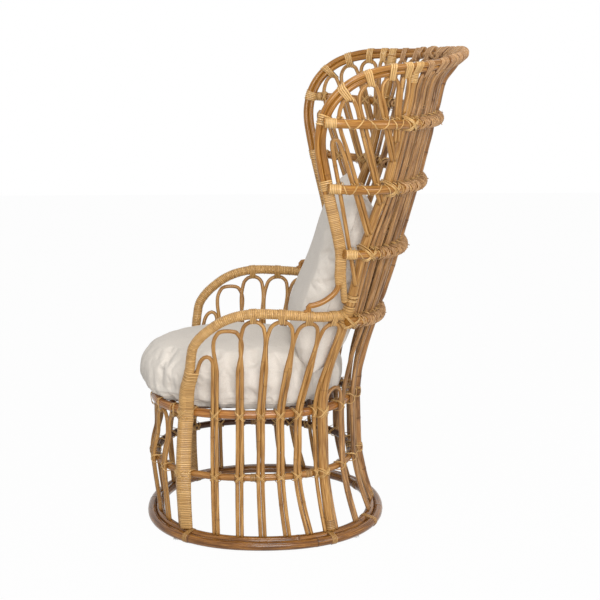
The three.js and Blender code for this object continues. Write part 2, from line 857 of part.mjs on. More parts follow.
function backLeg(index, side) {
  const isEdge = index === 0 || index === backArchCount
  const isLong = ['both', side > 0 ? 'right' : 'left'].includes(longLegs[index])
  const crossings = hoops.map(([, height, endDepth]) => {
    const endShare = shareAtDepth(height, endDepth)
    return hoopHeightAt(height, backPairShare(index, height), endShare)
  })
  const bottom = crossings[0] - hoopDiameter
  const lower = isLong ? halved([...baseHeights, bottom]) : [bottom]
  const upper = halved([crossings[crossings.length - 1], heightAt(backArchTopShare)])
  const heights = [...lower, ...crossings, ...upper.slice(1)]
  const shares = heights.map((height) => backPairShare(index, height))
  const isMiddle = index === backArchCount / 2
  const offset = isEdge ? besideBackPole : isMiddle ? besideRearPole : pairOffset
  return legLine(heights, shares, heights.map(uprightInset), side * offset)
}

function addBackHairpins() {
  const overhead = innerRimLine()
  const clearance = rimReach + hairpinDiameter / 2 + fitGap
  for (let i = 0; i < backArchCount; i += 1) {
    const first = backLeg(i, 1)
    const second = backLeg(i + 1, -1)
    const reach = reachUnder(first, second, backArchReach, overhead, clearance, hairpinReach)
    add(`back_hairpin_${i + 1}`, hairpin(first, second, reach, hairpinReach), rattan)
  }
}

// Low hairpin behind each back pole
function addRearHairpins() {
  const legTop = heightAt(rearArchLegShare)
  const first = uprightLeg(backPoleShare, [legTop], besideBackPole)
  const pairShare = (height) => backPairShare(longLegs.indexOf('right'), height)
  const second = uprightLeg(pairShare, [legTop], -pairOffset)
  addPair('rear_hairpin', hairpin(first, second, rearArchReach), rattan)
}

// Front skirt: small arches between the front posts, under the seat ring
function addFrontSkirt() {
  const topHeight = seatRingHeight - seatReach - fitGap - hairpinDiameter / 2
  const legTop = topHeight - skirtArchReach
  const ringInset = uprightDepth + fitGap + seatReach
  const heights = [
    footHeight,
    midRingHeight - midRingDiameter,
    midRingHeight + midRingDiameter,
    legTop - skirtArchReach,
    legTop,
  ]
  const insets = [footInset, hairpinReach, hairpinReach, ringInset, ringInset]
  const leg = (shareAt, distance) => legLine(heights, heights.map(shareAt), insets, distance)
  const pairShare = (index) => (height) => smoothThrough(baseHeights, frontPairShares[index], height)
  const skirtOffset = pairOffset - joinOverlap
  let solid = null
  for (let i = 0; i < frontPairShares.length; i += 1) {
    const first = leg(pairShare(i), skirtOffset)
    const second = i === 0 ? leg(frontPostShare, -besideArm) : leg(pairShare(i - 1), -skirtOffset)
    const arch = hairpin(first, second, skirtArchReach)
    const both = toSolid(arch).add(toSolid(mirrored(arch)))
    solid = solid ? solid.add(both) : both
  }
  add('front_skirt', fromSolid(solid), rattan)
}

// Seat deck: slats across the seat ring on two bearers
function addSeatDeck() {
  const outline = new THREE.Shape()
  for (let i = 0; i < ringSteps; i += 1) {
    const share = 2 * (i + 1 / 2) / ringSteps
    const out = outwardAt(seatRingHeight, share)
    const inset = uprightDepth + fitGap + leaningReach(seatRingDiameter, poleSides, out)
    const flat = new THREE.Vector3(out.x, out.y, 0)
    const distance = inset / flat.length() + seatReach + fitGap
    const point = onBasket(seatRingHeight, share).addScaledVector(flat.normalize(), -distance)
    if (i === 0) outline.moveTo(point.x, point.y)
    else outline.lineTo(point.x, point.y)
  }
  const room = new THREE.ExtrudeGeometry(outline, { depth: seatRingHeight, bevelEnabled: false })
  const slatHeight = seatRingHeight + seatReach - flatReach(slatDiameter, poleSides)
  const bearerDrop = flatReach(slatDiameter, poleSides) + flatReach(bearerDiameter, poleSides) - joinOverlap
  const up = new THREE.Vector3(0, 0, 1)
  const poles = []
  for (let i = 0; i < slatCount; i += 1) {
    const depth = seatRingMiddle + (i - (slatCount - 1) / 2) * slatPitch
    const ends = [-1, 1].map((side) => new THREE.Vector3(side * seatRingHalfWidth, depth, slatHeight))
    poles.push(toSolid(tube(ends, [up, up], slatDiameter, poleSides)))
  }
  for (const side of [-1, 1]) {
    const x = side * bearerSpacing / 2
    const height = slatHeight - bearerDrop
    const ends = [-1, 1].map(
      (end) => new THREE.Vector3(x, seatRingMiddle + end * seatRingFrontDepth, height))
    poles.push(toSolid(tube(ends, [up, up], bearerDiameter, poleSides)))
  }
  let solid = poles[0]
  for (const pole of poles.slice(1)) solid = solid.add(pole)
  room.translate(0, 0, seatRingHeight / 2)
  add('seat_deck', fromSolid(solid.intersect(toSolid(room))), rattan)
}

// Cushions

const seatCushionFloor = seatRingHeight + seatReach + fitGap

function seatCushionForm() {
  const positions = [0, seatCushionMiddle, seatCushionFloor]
  const indices = []
  const rings = seatCushionRadiusShares.length
  for (let ring = 0; ring < rings; ring += 1) {
    for (let i = 0; i < cushionSteps; i += 1) {
      const turn = 2 * Math.PI * i / cushionSteps
      const along = Math.cos(turn)
      const depth = along > 0 ? seatCushionRearDepth : seatCushionFrontDepth
      const radius = seatCushionRadiusShares[ring]
      const full = 1 - seatCushionRearDropShare * Math.max(0, along) * radius
      const height = seatCushionFloor + seatCushionHeightShares[ring] * seatCushionThickness * full
      positions.push(-seatCushionHalfWidth * Math.sin(turn) * radius)
      positions.push(seatCushionMiddle + depth * along * radius, height)
    }
  }
  positions.push(0, seatCushionMiddle, seatCushionFloor + seatCushionThickness)
  const top = 1 + rings * cushionSteps
  for (let i = 0; i < cushionSteps; i += 1) {
    const next = (i + 1) % cushionSteps
    indices.push(0, 1 + next, 1 + i)
    const last = 1 + (rings - 1) * cushionSteps
    indices.push(top, last + i, last + next)
    for (let ring = 0; ring < rings - 1; ring += 1) {
      const here = 1 + ring * cushionSteps
      const above = here + cushionSteps
      indices.push(here + i, here + next, above + next, here + i, above + next, above + i)
    }
  }
  const geometry = new THREE.BufferGeometry()
  geometry.setAttribute('position', new THREE.Float32BufferAttribute(positions, 3))
  geometry.setIndex(indices)
  return geometry
}

// Square pillow with a full middle, a narrower foot, and thin edges drawn in between its corners
function backCushionForm() {
  const positions = []
  const indices = []
  const count = pillowSteps + 1
  for (const face of [-1, 1]) {
    for (let row = 0; row < count; row += 1) {
      for (let column = 0; column < count; column += 1) {
        const u = Math.sin((column / pillowSteps - 1 / 2) * Math.PI)
        const v = Math.sin((row / pillowSteps - 1 / 2) * Math.PI)
        const narrowing = 1 - backCushionTaperShare * (1 - v) / 2
        const x = backCushionWidth / 2 * u * narrowing * (1 - backCushionDrawShare * (1 - v * v))
        const z = backCushionHeight / 2 * v * (1 - backCushionDrawShare * (1 - u * u))
        const fullness = Math.sqrt(Math.max((1 - u ** 4) * (1 - v ** 4), 0))
        positions.push(x, face * backCushionThickness / 2 * fullness, z)
      }
    }
  }
  for (const face of [0, 1]) {
    const start = face * count * count
    for (let row = 0; row < pillowSteps; row += 1) {
      for (let column = 0; column < pillowSteps; column += 1) {
        const here = start + row * count + column
        const quad = [here, here + 1, here + count + 1, here + count]
        if (face === 1) quad.reverse()
        indices.push(quad[0], quad[1], quad[2], quad[0], quad[2], quad[3])
      }
    }
  }
  const geometry = new THREE.BufferGeometry()
  geometry.setAttribute('position', new THREE.Float32BufferAttribute(positions, 3))
  geometry.setIndex(indices)
  geometry.rotateX(-backCushionLeanDegrees * Math.PI / 180)
  geometry.translate(0, backCushionDepth, seatRingHeight + backCushionRise)
  return geometry
}

function addCushions() {
  const seat = seatCushionForm()
  add('seat_cushion', seat, linen)
  const seatLifted = seat.clone().translate(0, 0, fitGap)
  add('back_cushion', cutBy(backCushionForm(), seatLifted), linen)
}

// Put the origin under the middle of the whole chair
function centreOnFloor() {
  const box = new THREE.Box3().setFromObject(chair)
  for (const mesh of chair.children) mesh.geometry.translate(0, -(box.min.y + box.max.y) / 2, -box.min.z)
}

addBaseRings()
addGlides()
addFrame()
addHoops()
addRearPole()
addArmHairpins()
addWingHairpins()
addBackHairpins()
addRearHairpins()
addFrontSkirt()
addSeatDeck()
addCushions()
centreOnFloor()

export default chair
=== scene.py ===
import math
import random

import bmesh
import bpy
import numpy as np
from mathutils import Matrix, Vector, noise


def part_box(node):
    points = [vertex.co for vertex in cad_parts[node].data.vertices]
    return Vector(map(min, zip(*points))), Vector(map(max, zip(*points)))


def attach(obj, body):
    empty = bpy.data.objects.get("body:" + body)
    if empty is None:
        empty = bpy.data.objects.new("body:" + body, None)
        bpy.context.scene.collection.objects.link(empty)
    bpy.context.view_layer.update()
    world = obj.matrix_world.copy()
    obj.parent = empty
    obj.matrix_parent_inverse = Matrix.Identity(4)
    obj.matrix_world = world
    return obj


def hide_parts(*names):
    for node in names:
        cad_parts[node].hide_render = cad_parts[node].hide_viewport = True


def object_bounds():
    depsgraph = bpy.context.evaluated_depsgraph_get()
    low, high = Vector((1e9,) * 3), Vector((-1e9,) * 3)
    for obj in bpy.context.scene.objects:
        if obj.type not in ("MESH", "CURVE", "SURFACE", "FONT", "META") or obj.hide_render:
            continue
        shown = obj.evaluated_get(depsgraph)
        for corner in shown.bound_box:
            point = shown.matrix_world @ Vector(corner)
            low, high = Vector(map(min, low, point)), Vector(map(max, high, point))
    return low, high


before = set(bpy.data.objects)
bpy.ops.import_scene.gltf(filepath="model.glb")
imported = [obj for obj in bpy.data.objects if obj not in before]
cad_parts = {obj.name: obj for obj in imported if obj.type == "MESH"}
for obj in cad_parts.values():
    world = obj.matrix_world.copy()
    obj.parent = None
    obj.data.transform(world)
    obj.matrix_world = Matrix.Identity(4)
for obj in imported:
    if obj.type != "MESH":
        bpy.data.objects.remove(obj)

cad_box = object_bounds()

# The double floor ring. Two rattan poles bent to rings lie on each other, the inner one a little
# higher, and are bound with cane where their ends meet. Natural rattan keeps its glossy skin:
# fine streaks run along it, and every hand or two a growth node rings it.
floor_pole_diameter = 0.0245
rattan_pale = (0.60, 0.35, 0.12)
rattan_warm = (0.325, 0.15, 0.036)
rattan_dark = (0.10, 0.036, 0.010)


def merged_copy(node):
    mesh = bmesh.new()
    mesh.from_mesh(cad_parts[node].data)
    bmesh.ops.remove_doubles(mesh, verts=mesh.verts[:], dist=1e-5)
    return mesh


def closed_centre_line(node, corners=8):
    mesh = merged_copy(node)
    low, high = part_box(node)
    middle = [(a + b) / 2 for a, b in zip(low, high)]
    turned = sorted((math.atan2(v.co.y - middle[1], v.co.x - middle[0]), tuple(v.co)) for v in mesh.verts)
    mesh.free()
    angles = [angle for angle, place in turned]
    gaps = [(angles[i] - angles[i - 1]) % (2 * math.pi) for i in range(len(angles))]
    first = gaps.index(max(gaps))
    places = [place for angle, place in turned[first:] + turned[:first]]
    sections = [places[i:i + corners] for i in range(0, len(places), corners)]
    return np.array([np.mean(section, axis=0) for section in sections])


def smooth_line(points, closed=False, step=0.002):
    points = np.asarray(points, float)
    if closed:
        points = np.vstack([points[-1:], points, points[:2]])
    else:
        points = np.vstack([2 * points[0] - points[1], points, 2 * points[-1] - points[-2]])
    spans = np.maximum(np.linalg.norm(np.diff(points, axis=0), axis=1), 1e-6)
    slopes = np.diff(points, axis=0) / spans[:, None]
    leans = slopes[:-1] * spans[1:, None] + slopes[1:] * spans[:-1, None]
    leans /= (spans[:-1] + spans[1:])[:, None]
    run = []
    for i in range(1, len(points) - 2):
        span = spans[i]
        t = np.arange(0, 1, min(0.5, step / span))[:, None]
        run.append((2 * t**3 - 3 * t**2 + 1) * points[i] + (t**3 - 2 * t**2 + t) * span * leans[i - 1]
                   + (3 * t**2 - 2 * t**3) * points[i + 1] + (t**3 - t**2) * span * leans[i])
    run.append(points[-2][None])
    return np.vstack(run)


def lengths_along(line):
    return np.concatenate([[0.0], np.cumsum(np.linalg.norm(np.diff(line, axis=0), axis=1))])


def places_at(line, lengths):
    along = lengths_along(line)
    return np.stack([np.interp(lengths, along, line[:, axis]) for axis in range(3)], axis=1)


def frames_along(places, outward=(0.3, 0.2, 1.0)):
    tangents = np.gradient(places, axis=0)
    tangents /= np.linalg.norm(tangents, axis=1)[:, None]
    side = np.cross(tangents[0], outward)
    side = side / np.linalg.norm(side)
    sides = []
    for tangent in tangents:
        side = side - tangent * np.dot(side, tangent)
        side = side / np.linalg.norm(side)
        sides.append(side)
    sides = np.array(sides)
    return sides, np.cross(tangents, sides)


def made_piece(name, mesh, finish):
    data = bpy.data.meshes.new(name)
    mesh.to_mesh(data)
    mesh.free()
    data.materials.append(finish)
    piece = bpy.data.objects.new(name, data)
    bpy.context.scene.collection.objects.link(piece)
    return piece


def bare_skin():
    mesh = bmesh.new()
    mesh.verts.layers.float_vector.new("bark")
    mesh.verts.layers.float.new("knot_and_groove_shade")
    return mesh


def lay_rows(mesh, rows, bark, knots_and_groove_shade):
    bark_layer, knot_and_groove_layer = mesh.verts.layers.float_vector["bark"], mesh.verts.layers.float["knot_and_groove_shade"]
    steps, corners = rows.shape[0] - 1, rows.shape[1] - 1
    for vert in bmesh.ops.create_grid(mesh, x_segments=steps, y_segments=corners, size=0.5)["verts"]:
        i = round((vert.co.x + 0.5) * steps)
        j = round((vert.co.y + 0.5) * corners)
        vert.co = rows[i, j]
        vert[bark_layer] = bark[i, j]
        vert[knot_and_groove_layer] = knots_and_groove_shade[i]


def closed_skin(name, mesh, finish, apart=2e-6, flat_ends=True):
    bmesh.ops.remove_doubles(mesh, verts=mesh.verts[:], dist=apart)
    for face in mesh.faces:
        face.smooth = True
    ends = [edge for edge in mesh.edges if edge.is_boundary]
    for face in bmesh.ops.holes_fill(mesh, edges=ends, sides=0)["faces"]:
        if flat_ends:
            face.smooth = False
    bmesh.ops.recalc_face_normals(mesh, faces=mesh.faces[:])
    return made_piece(name, mesh, finish)


def rolled(name, rows, bark, knots_and_groove_shade, finish):
    mesh = bare_skin()
    lay_rows(mesh, rows, bark, knots_and_groove_shade)
    return closed_skin(name, mesh, finish)


def pole(name, line, diameter, finish, sides=14, step=0.007, node_gap=(0.2, 0.42), knotted=0.045,
         marks=()):
    chance = random.Random(name)
    along = lengths_along(line)[-1]
    growth = list(marks)
    at = (marks[-1] if marks else 0) + chance.uniform(0.03, node_gap[1])
    while at < along:
        growth.append(at)
        at += chance.uniform(*node_gap)
    lengths = set(np.linspace(0, along, max(3, round(along / step))))
    for at in growth:
        lengths.update(at + offset for offset in (-0.006, -0.003, -0.0012, 0, 0.0012, 0.003, 0.006)
                       if 0 < at + offset < along)
    lengths = np.array(sorted(lengths))
    lengths = lengths[np.concatenate([[True], np.diff(lengths) > 4e-4])]
    places = places_at(line, lengths)
    first, second = frames_along(places)
    swell = np.zeros(len(lengths))
    knots_and_groove_shade = np.zeros(len(lengths))
    for at in growth:
        swell += knotted * np.exp(-((lengths - at) / 0.004) ** 2)
        knots_and_groove_shade += np.exp(-((lengths - at - 0.001) / 0.0016) ** 2)
    start = chance.uniform(0, 40)
    uneven = np.array([0.012 * noise.noise((length * 9 + start, 0, 0)) for length in lengths])
    reach = diameter / 2 * (1 + swell + uneven)
    angles = np.linspace(0, 2 * math.pi, sides + 1)
    angles[-1] = 0
    around = np.stack([np.cos(angles), np.sin(angles)], axis=1)
    rows = (places[:, None] + reach[:, None, None]
            * (around[None, :, :1] * first[:, None] + around[None, :, 1:] * second[:, None]))
    bark = np.empty(rows.shape)
    bark[..., 0] = lengths[:, None] + start
    bark[..., 1:] = around[None] * diameter / 2
    return rolled(name, rows, bark, knots_and_groove_shade, finish)


def new_finish(name):
    finish = bpy.data.materials.new(name)
    finish.use_nodes = True
    nodes, links = finish.node_tree.nodes, finish.node_tree.links
    return finish, nodes, links, nodes["Principled BSDF"]


def added(nodes, kind, values=()):
    node = nodes.new("ShaderNode" + kind)
    for name, value in dict(values).items():
        node.inputs[name].default_value = value
    return node


def read_from(nodes, attribute):
    source = added(nodes, "Attribute")
    source.attribute_name = attribute
    return source


def toned(nodes, stops):
    ramp = added(nodes, "ValToRGB")
    elements = ramp.color_ramp.elements
    for element, (place, tone) in zip(elements, (stops[0], stops[-1])):
        element.position = place
        element.color = (*tone, 1)
    for place, tone in stops[1:-1]:
        elements.new(place).color = (*tone, 1)
    return ramp


def tinted(nodes, links, amount, base, tone):
    mix = added(nodes, "Mix")
    mix.data_type = "RGBA"
    mix.inputs["B"].default_value = (*tone, 1)
    links.new(amount, mix.inputs["Factor"])
    links.new(base, mix.inputs["A"])
    return mix.outputs["Result"]


def rattan(name, pale, warm, dark, blotch=0.5, gloss=0.36, rings=0.4, varnish=0.25):
    finish, nodes, links, shader = new_finish(name)
    skin = read_from(nodes, "bark")

    def grain(scale, detail):
        stretch = added(nodes, "Mapping", {"Scale": scale})
        fibres = added(nodes, "TexNoise", {"Scale": 1, "Detail": detail, "Roughness": 0.6})
        links.new(skin.outputs["Vector"], stretch.inputs["Vector"])
        links.new(stretch.outputs["Vector"], fibres.inputs["Vector"])
        return fibres.outputs["Fac"]

    streaks = grain((14, 420, 420), 5)
    ramp = toned(nodes, ((0.3, [tone * 0.5 for tone in warm]), (0.46, warm), (0.68, pale)))
    links.new(streaks, ramp.inputs["Fac"])
    patch = added(nodes, "MapRange", {"From Min": 0.5, "From Max": 0.72, "To Max": blotch})
    links.new(grain((9, 55, 55), 3), patch.inputs["Value"])
    clouded = tinted(nodes, links, patch.outputs["Result"], ramp.outputs["Color"], dark)
    # Growth node rings are darkened here, and on wound cane the same mark paints shade into the grooves
    # between turns.
    node_and_groove_mark = added(nodes, "MapRange", {"To Max": rings})
    links.new(read_from(nodes, "knot_and_groove_shade").outputs["Fac"], node_and_groove_mark.inputs["Value"])
    ringed = tinted(nodes, links, node_and_groove_mark.outputs["Result"], clouded, [tone * 0.7 for tone in dark])
    links.new(ringed, shader.inputs["Base Color"])
    worn = added(nodes, "MapRange", {"To Min": gloss - 0.1, "To Max": gloss + 0.14})
    links.new(streaks, worn.inputs["Value"])
    links.new(worn.outputs["Result"], shader.inputs["Roughness"])
    relief = added(nodes, "Bump", {"Strength": 0.35, "Distance": 0.0006})
    links.new(streaks, relief.inputs["Height"])
    links.new(relief.outputs["Normal"], shader.inputs["Normal"])
    shader.inputs["Specular IOR Level"].default_value = 0.2
    shader.inputs["Coat Weight"].default_value = varnish
    shader.inputs["Coat Roughness"].default_value = 0.13
    return finish


def fasten(piece, slot, *nodes):
    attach(piece, "root")
    if nodes:
        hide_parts(*nodes)


def bent_ring(node, diameter, finish, slot, joint):
    points = closed_centre_line(node)
    points = np.roll(points, -joint, axis=0)
    line = smooth_line(np.vstack([points, points[:1]]))
    fasten(pole(node + "_pole", line, diameter, finish, sides=18), slot, node)
    return line


natural = rattan("rattan_natural", rattan_pale, rattan_warm, rattan_dark)
aged = rattan("rattan_floor_ring", (0.43, 0.195, 0.048), (0.175, 0.064, 0.010), (0.06, 0.02, 0.006),
              blotch=0.8, gloss=0.24, rings=0.8, varnish=0.35)
floor_outer_line = bent_ring("floor_ring_outer", floor_pole_diameter, aged, "stained_rattan", joint=5)
floor_inner_line = bent_ring("floor_ring_inner", floor_pole_diameter, aged, "stained_rattan", joint=14)

# Glides. Small clear plastic studs, nailed up into the floor ring so that it stands clear of the
# floor; only their rims show.
glide_edge = 0.0008


def clear_plastic(name):
    finish, nodes, links, shader = new_finish(name)
    shader.inputs["Base Color"].default_value = (0.86, 0.87, 0.86, 1)
    shader.inputs["Transmission Weight"].default_value = 0.6
    shader.inputs["IOR"].default_value = 1.45
    scuffs = added(nodes, "TexNoise", {"Scale": 300})
    place = added(nodes, "TexCoord")
    worn = added(nodes, "MapRange", {"To Min": 0.1, "To Max": 0.4})
    links.new(place.outputs["Object"], scuffs.inputs["Vector"])
    links.new(scuffs.outputs["Fac"], worn.inputs["Value"])
    links.new(worn.outputs["Result"], shader.inputs["Roughness"])
    return finish


clear = clear_plastic("clear_plastic")
for place in ("front_left", "front_right", "rear_left", "rear_right"):
    node = "glide_" + place
    low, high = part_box(node)
    mesh = bmesh.new()
    bmesh.ops.create_circle(mesh, cap_ends=True, segments=24, radius=(high[0] - low[0]) / 2)
    grown = bmesh.ops.extrude_face_region(mesh, geom=mesh.faces[:])["geom"]
    top = [item for item in grown if isinstance(item, bmesh.types.BMVert)]
    bmesh.ops.translate(mesh, verts=top, vec=(0, 0, high[2] - low[2]))
    bmesh.ops.recalc_face_normals(mesh, faces=mesh.faces[:])
    rims = [edge for edge in mesh.edges if edge.calc_face_angle(0) > 1]
    bmesh.ops.bevel(mesh, geom=rims, offset=glide_edge, segments=3, profile=0.5, affect="EDGES",
                    material=-1)
    centre = ((low[0] + high[0]) / 2, (low[1] + high[1]) / 2, low[2])
    bmesh.ops.translate(mesh, verts=mesh.verts[:], vec=centre)
    fasten(made_piece(node + "_stud", mesh, clear), "clear_glide", node)

# Middle ring and seat ring. Each is one pole bent round inside the uprights; the seat ring is a
# thicker pole stained to a reddish brown. Their inner sides are painted darker: painted shade
# where little light reaches inside the base, and on the seat ring a darker stain as well.
mid_ring_diameter = 0.0195
seat_ring_diameter = 0.0245


# Paints shade on a ring's inner side: the colour darkens towards the tone where the surface faces the
# middle of the chair.
def paint_inner_shade(piece, tone):
    data = piece.data
    places = np.array([vert.co[:] for vert in data.vertices])
    away = places - places.mean(axis=0)
    away[:, 2] = 0
    away /= np.linalg.norm(away, axis=1)[:, None]
    facing = np.sum(np.array([vert.normal[:] for vert in data.vertices]) * away, axis=1)
    inner = data.attributes.new("painted_inner_shade", "FLOAT", "POINT")
    inner.data.foreach_set("value", np.clip(0.35 - facing * 1.4, 0, 1))
    nodes, links = data.materials[0].node_tree.nodes, data.materials[0].node_tree.links
    colour = nodes["Principled BSDF"].inputs["Base Color"]
    base, side = colour.links[0].from_socket, read_from(nodes, "painted_inner_shade")
    links.new(tinted(nodes, links, side.outputs["Fac"], base, tone), colour)


ring_brown = rattan("rattan_mid_ring", (0.52, 0.265, 0.08), (0.29, 0.12, 0.027), (0.10, 0.035, 0.01),
                    blotch=0.5, gloss=0.26)
mid_ring_line = bent_ring("mid_ring", mid_ring_diameter, ring_brown, "stained_rattan", joint=9)
# painted shade on the middle ring's inner side
paint_inner_shade(bpy.data.objects["mid_ring_pole"], (0.075, 0.026, 0.009))
stained = rattan("rattan_stained", (0.55, 0.25, 0.060), (0.31, 0.112, 0.018), (0.10, 0.03, 0.008),
                 blotch=0.6, gloss=0.26, varnish=0.5)
seat_ring_line = bent_ring("seat_ring", seat_ring_diameter, stained, "stained_rattan", joint=18)
# painted shade on the seat ring's inner side, with a darker stain
paint_inner_shade(bpy.data.objects["seat_ring_pole"], (0.085, 0.03, 0.01))

# Seat deck. Eight straight poles lie across the seat ring on two bearers and carry the cushion.
# The deck poles are coloured dark brown: painted shade for the dark under the seat cushion.
deck_shade_brown = rattan("rattan_deck_painted_shade", (0.20, 0.085, 0.03), (0.11, 0.042, 0.014), (0.04, 0.014, 0.006))
slat_diameter = 0.0155
bearer_diameter = 0.0175
slat_count = 8
slat_pitch = 0.062
bearer_offset = 0.1
ring_inner_reach = 0.0135


def room_inside(line, reach):
    middle = line.mean(axis=0)[:2]
    flat = line[:, :2] - middle
    size = np.linalg.norm(flat, axis=1)[:, None]
    return middle + flat * (size - reach) / size


def crossing(room, axis, value):
    other = 1 - axis
    rows = np.vstack([room, room[:1]])
    hits = []
    for a, b in zip(rows[:-1], rows[1:]):
        if (a[axis] - value) * (b[axis] - value) < 0:
            hits.append(a[other] + (b[other] - a[other]) * (value - a[axis]) / (b[axis] - a[axis]))
    return min(hits), max(hits)


room = room_inside(seat_ring_line, ring_inner_reach)
deck_low, deck_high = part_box("seat_deck")
slat_height = deck_high[2] - slat_diameter / 2
bearer_height = deck_low[2] + bearer_diameter / 2
deck = []
ring_low, ring_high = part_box("seat_ring")
ring_middle = (ring_low[1] + ring_high[1]) / 2
for index in range(slat_count):
    depth = ring_middle + (index - (slat_count - 1) / 2) * slat_pitch
    left, right = crossing(room, 1, depth)
    ends = np.linspace((left, depth, slat_height), (right, depth, slat_height), 5)
    deck.append(pole(f"seat_slat_{index + 1}", smooth_line(ends), slat_diameter, deck_shade_brown, step=0.02))
for side, label in ((-1, "right"), (1, "left")):
    across = side * bearer_offset
    front, rear = crossing(room, 0, across)
    ends = np.linspace((across, front, bearer_height), (across, rear, bearer_height), 5)
    deck.append(pole("seat_bearer_" + label, smooth_line(ends), bearer_diameter, deck_shade_brown, step=0.02))
for piece in deck:
    fasten(piece, "natural_rattan", "seat_deck")

# Arms. Each arm is one thick pole from the floor ring up as the front post, bent over and back to
# the thick back pole, and wound from end to end with flat cane, turn against turn.
arm_core_diameter = 0.0245
cane_turn = 0.0049
cane_swell = 0.0011


def rings_from(seed):
    rings = [list(seed)]
    seen = set(seed)
    while rings[-1]:
        ring = {edge.other_vert(vert) for vert in rings[-1] for edge in vert.link_edges} - seen
        seen |= ring
        rings.append(list(ring))
    return rings[:-1]


def standing_centre_line(node, corners=8):
    mesh = merged_copy(node)
    foot = min(vert.co.z for vert in mesh.verts)
    seed = [vert for vert in mesh.verts if vert.co.z < foot + 1e-4]
    rings = rings_from(seed)
    whole = [ring for ring in rings if len(ring) == corners]
    points = [np.mean([vert.co[:] for vert in ring], axis=0) for ring in whole]
    last = [vert.co[:] for ring in rings if len(ring) != corners for vert in ring]
    if last:
        lean = points[-1] - points[-2]
        further = max(np.dot(np.array(place) - points[-1], lean) for place in last) / np.dot(lean, lean)
        if further > 0.1:
            points.append(points[-1] + lean * further * 0.8)
    mesh.free()
    return np.array(points)


def wound(name, line, diameter, finish, turn=cane_turn, swell=cane_swell, sides=16, per_turn=5):
    along = lengths_along(line)[-1]
    turns = round(along / turn)
    turn = along / turns
    fine = np.linspace(0, along, turns * 8)
    places = places_at(line, fine)
    first, second = frames_along(places)
    chance = random.Random(name)
    loose = [chance.uniform(-0.35, 0.35) for _ in range(turns + 3)]
    shade = [chance.uniform(0, 40) for _ in range(turns + 3)]
    cover = (0.0, 0.75, 1.0, 1.0, 0.75)
    rows = np.empty((turns * per_turn + 1, sides + 1, 3))
    bark = np.empty(rows.shape)
    knots_and_groove_shade = np.zeros(len(rows))
    for i in range(len(rows)):
        for j in range(sides + 1):
            turned = i // per_turn + j / sides
            whole, part = int(turned), turned - int(turned)
            slack = loose[whole] * (1 - part) + loose[whole + 1] * part
            reach = diameter / 2 + swell * cover[i % per_turn] * (1 + slack)
            length = min(max(turn * (i / per_turn + j / sides - 0.5), 0), along)
            at = [np.interp(length, fine, places[:, axis]) for axis in range(3)]
            one = np.array([np.interp(length, fine, first[:, axis]) for axis in range(3)])
            two = np.array([np.interp(length, fine, second[:, axis]) for axis in range(3)])
            angle = 2 * math.pi * (j % sides) / sides
            rows[i, j] = at + reach * (math.cos(angle) * one + math.sin(angle) * two)
            tone = shade[whole] * (1 - part) + shade[whole + 1] * part
            bark[i, j] = (turned * math.pi * diameter, (i % per_turn) * turn / per_turn, tone * 0.002)
        # painted shade in the groove between turns
        knots_and_groove_shade[i] = 0.8 * (i % per_turn == 0)
    return rolled(name, rows, bark, knots_and_groove_shade, finish)


cane = rattan("cane_wrapping", (0.76, 0.485, 0.20), (0.49, 0.27, 0.085), (0.16, 0.065, 0.018),
              blotch=0.45, gloss=0.42, rings=0.85)
arm_lines = {}
for side in ("left", "right"):
    node = "arm_" + side
    arm_lines[side] = smooth_line(standing_centre_line(node))
    fasten(wound(node + "_wrapped", arm_lines[side], arm_core_diameter, cane), "wrapped_cane", node)

# Thick back poles. One a side, straight from the floor ring past the arm, then leaning out and
# back to the rim; the heaviest poles of the frame, with plain growth nodes.
back_pole_diameter = 0.0255
lowest_growth = 0.412
back_pole_lines = {}
for side in ("left", "right"):
    node = "back_pole_" + side
    line = back_pole_lines[side] = smooth_line(standing_centre_line(node))
    growth = float(np.interp(lowest_growth, line[:, 2], lengths_along(line)))
    fasten(pole(node + "_pole", line, back_pole_diameter, natural, sides=18, node_gap=(0.3, 0.6),
                marks=[growth]), "natural_rattan", node)

# Hairpins. Thin rattan poles bent over in narrow arches fill the sides, the wings and the back.
# Each goes up from the floor ring or a hoop, round its arch under the arm or the rim, and down.
hairpin_diameter = 0.0107


def hairpin_centre_line(node, corners=6, across=0.013):
    mesh = merged_copy(node)
    caps = []
    seen = set()
    for face in mesh.faces:
        if face in seen:
            continue
        group = [face]
        seen.add(face)
        for one in group:
            for edge in one.edges:
                for other in edge.link_faces:
                    if other not in seen and other.normal.dot(face.normal) > 1 - 1e-5:
                        seen.add(other)
                        group.append(other)
        rim = {vert for one in group for vert in one.verts}
        wide = max((a.co - b.co).length for a in rim for b in rim)
        if len(group) == corners - 2 and len(rim) == corners and wide < across:
            caps.append(rim)
    seed = min(caps, key=lambda rim: min(vert.co.z for vert in rim))
    rings = rings_from(seed)
    points = [np.mean([vert.co[:] for vert in ring], axis=0) for ring in rings]
    mesh.free()
    return np.array(points)


def run_on(points, post, within=0.034, further=0.03):
    landed = list(points)
    for end, before in ((0, 1), (-1, -2)):
        if np.linalg.norm(post - points[end], axis=1).min() < within:
            lead = points[end] - points[before]
            lead = lead / np.linalg.norm(lead)
            tries = points[end] + lead * np.linspace(0, further, 16)[:, None]
            apart = [np.linalg.norm(post - place, axis=1).min() for place in tries]
            landed.insert(0 if end == 0 else len(landed), tries[int(np.argmin(apart))])
    return np.array(landed)


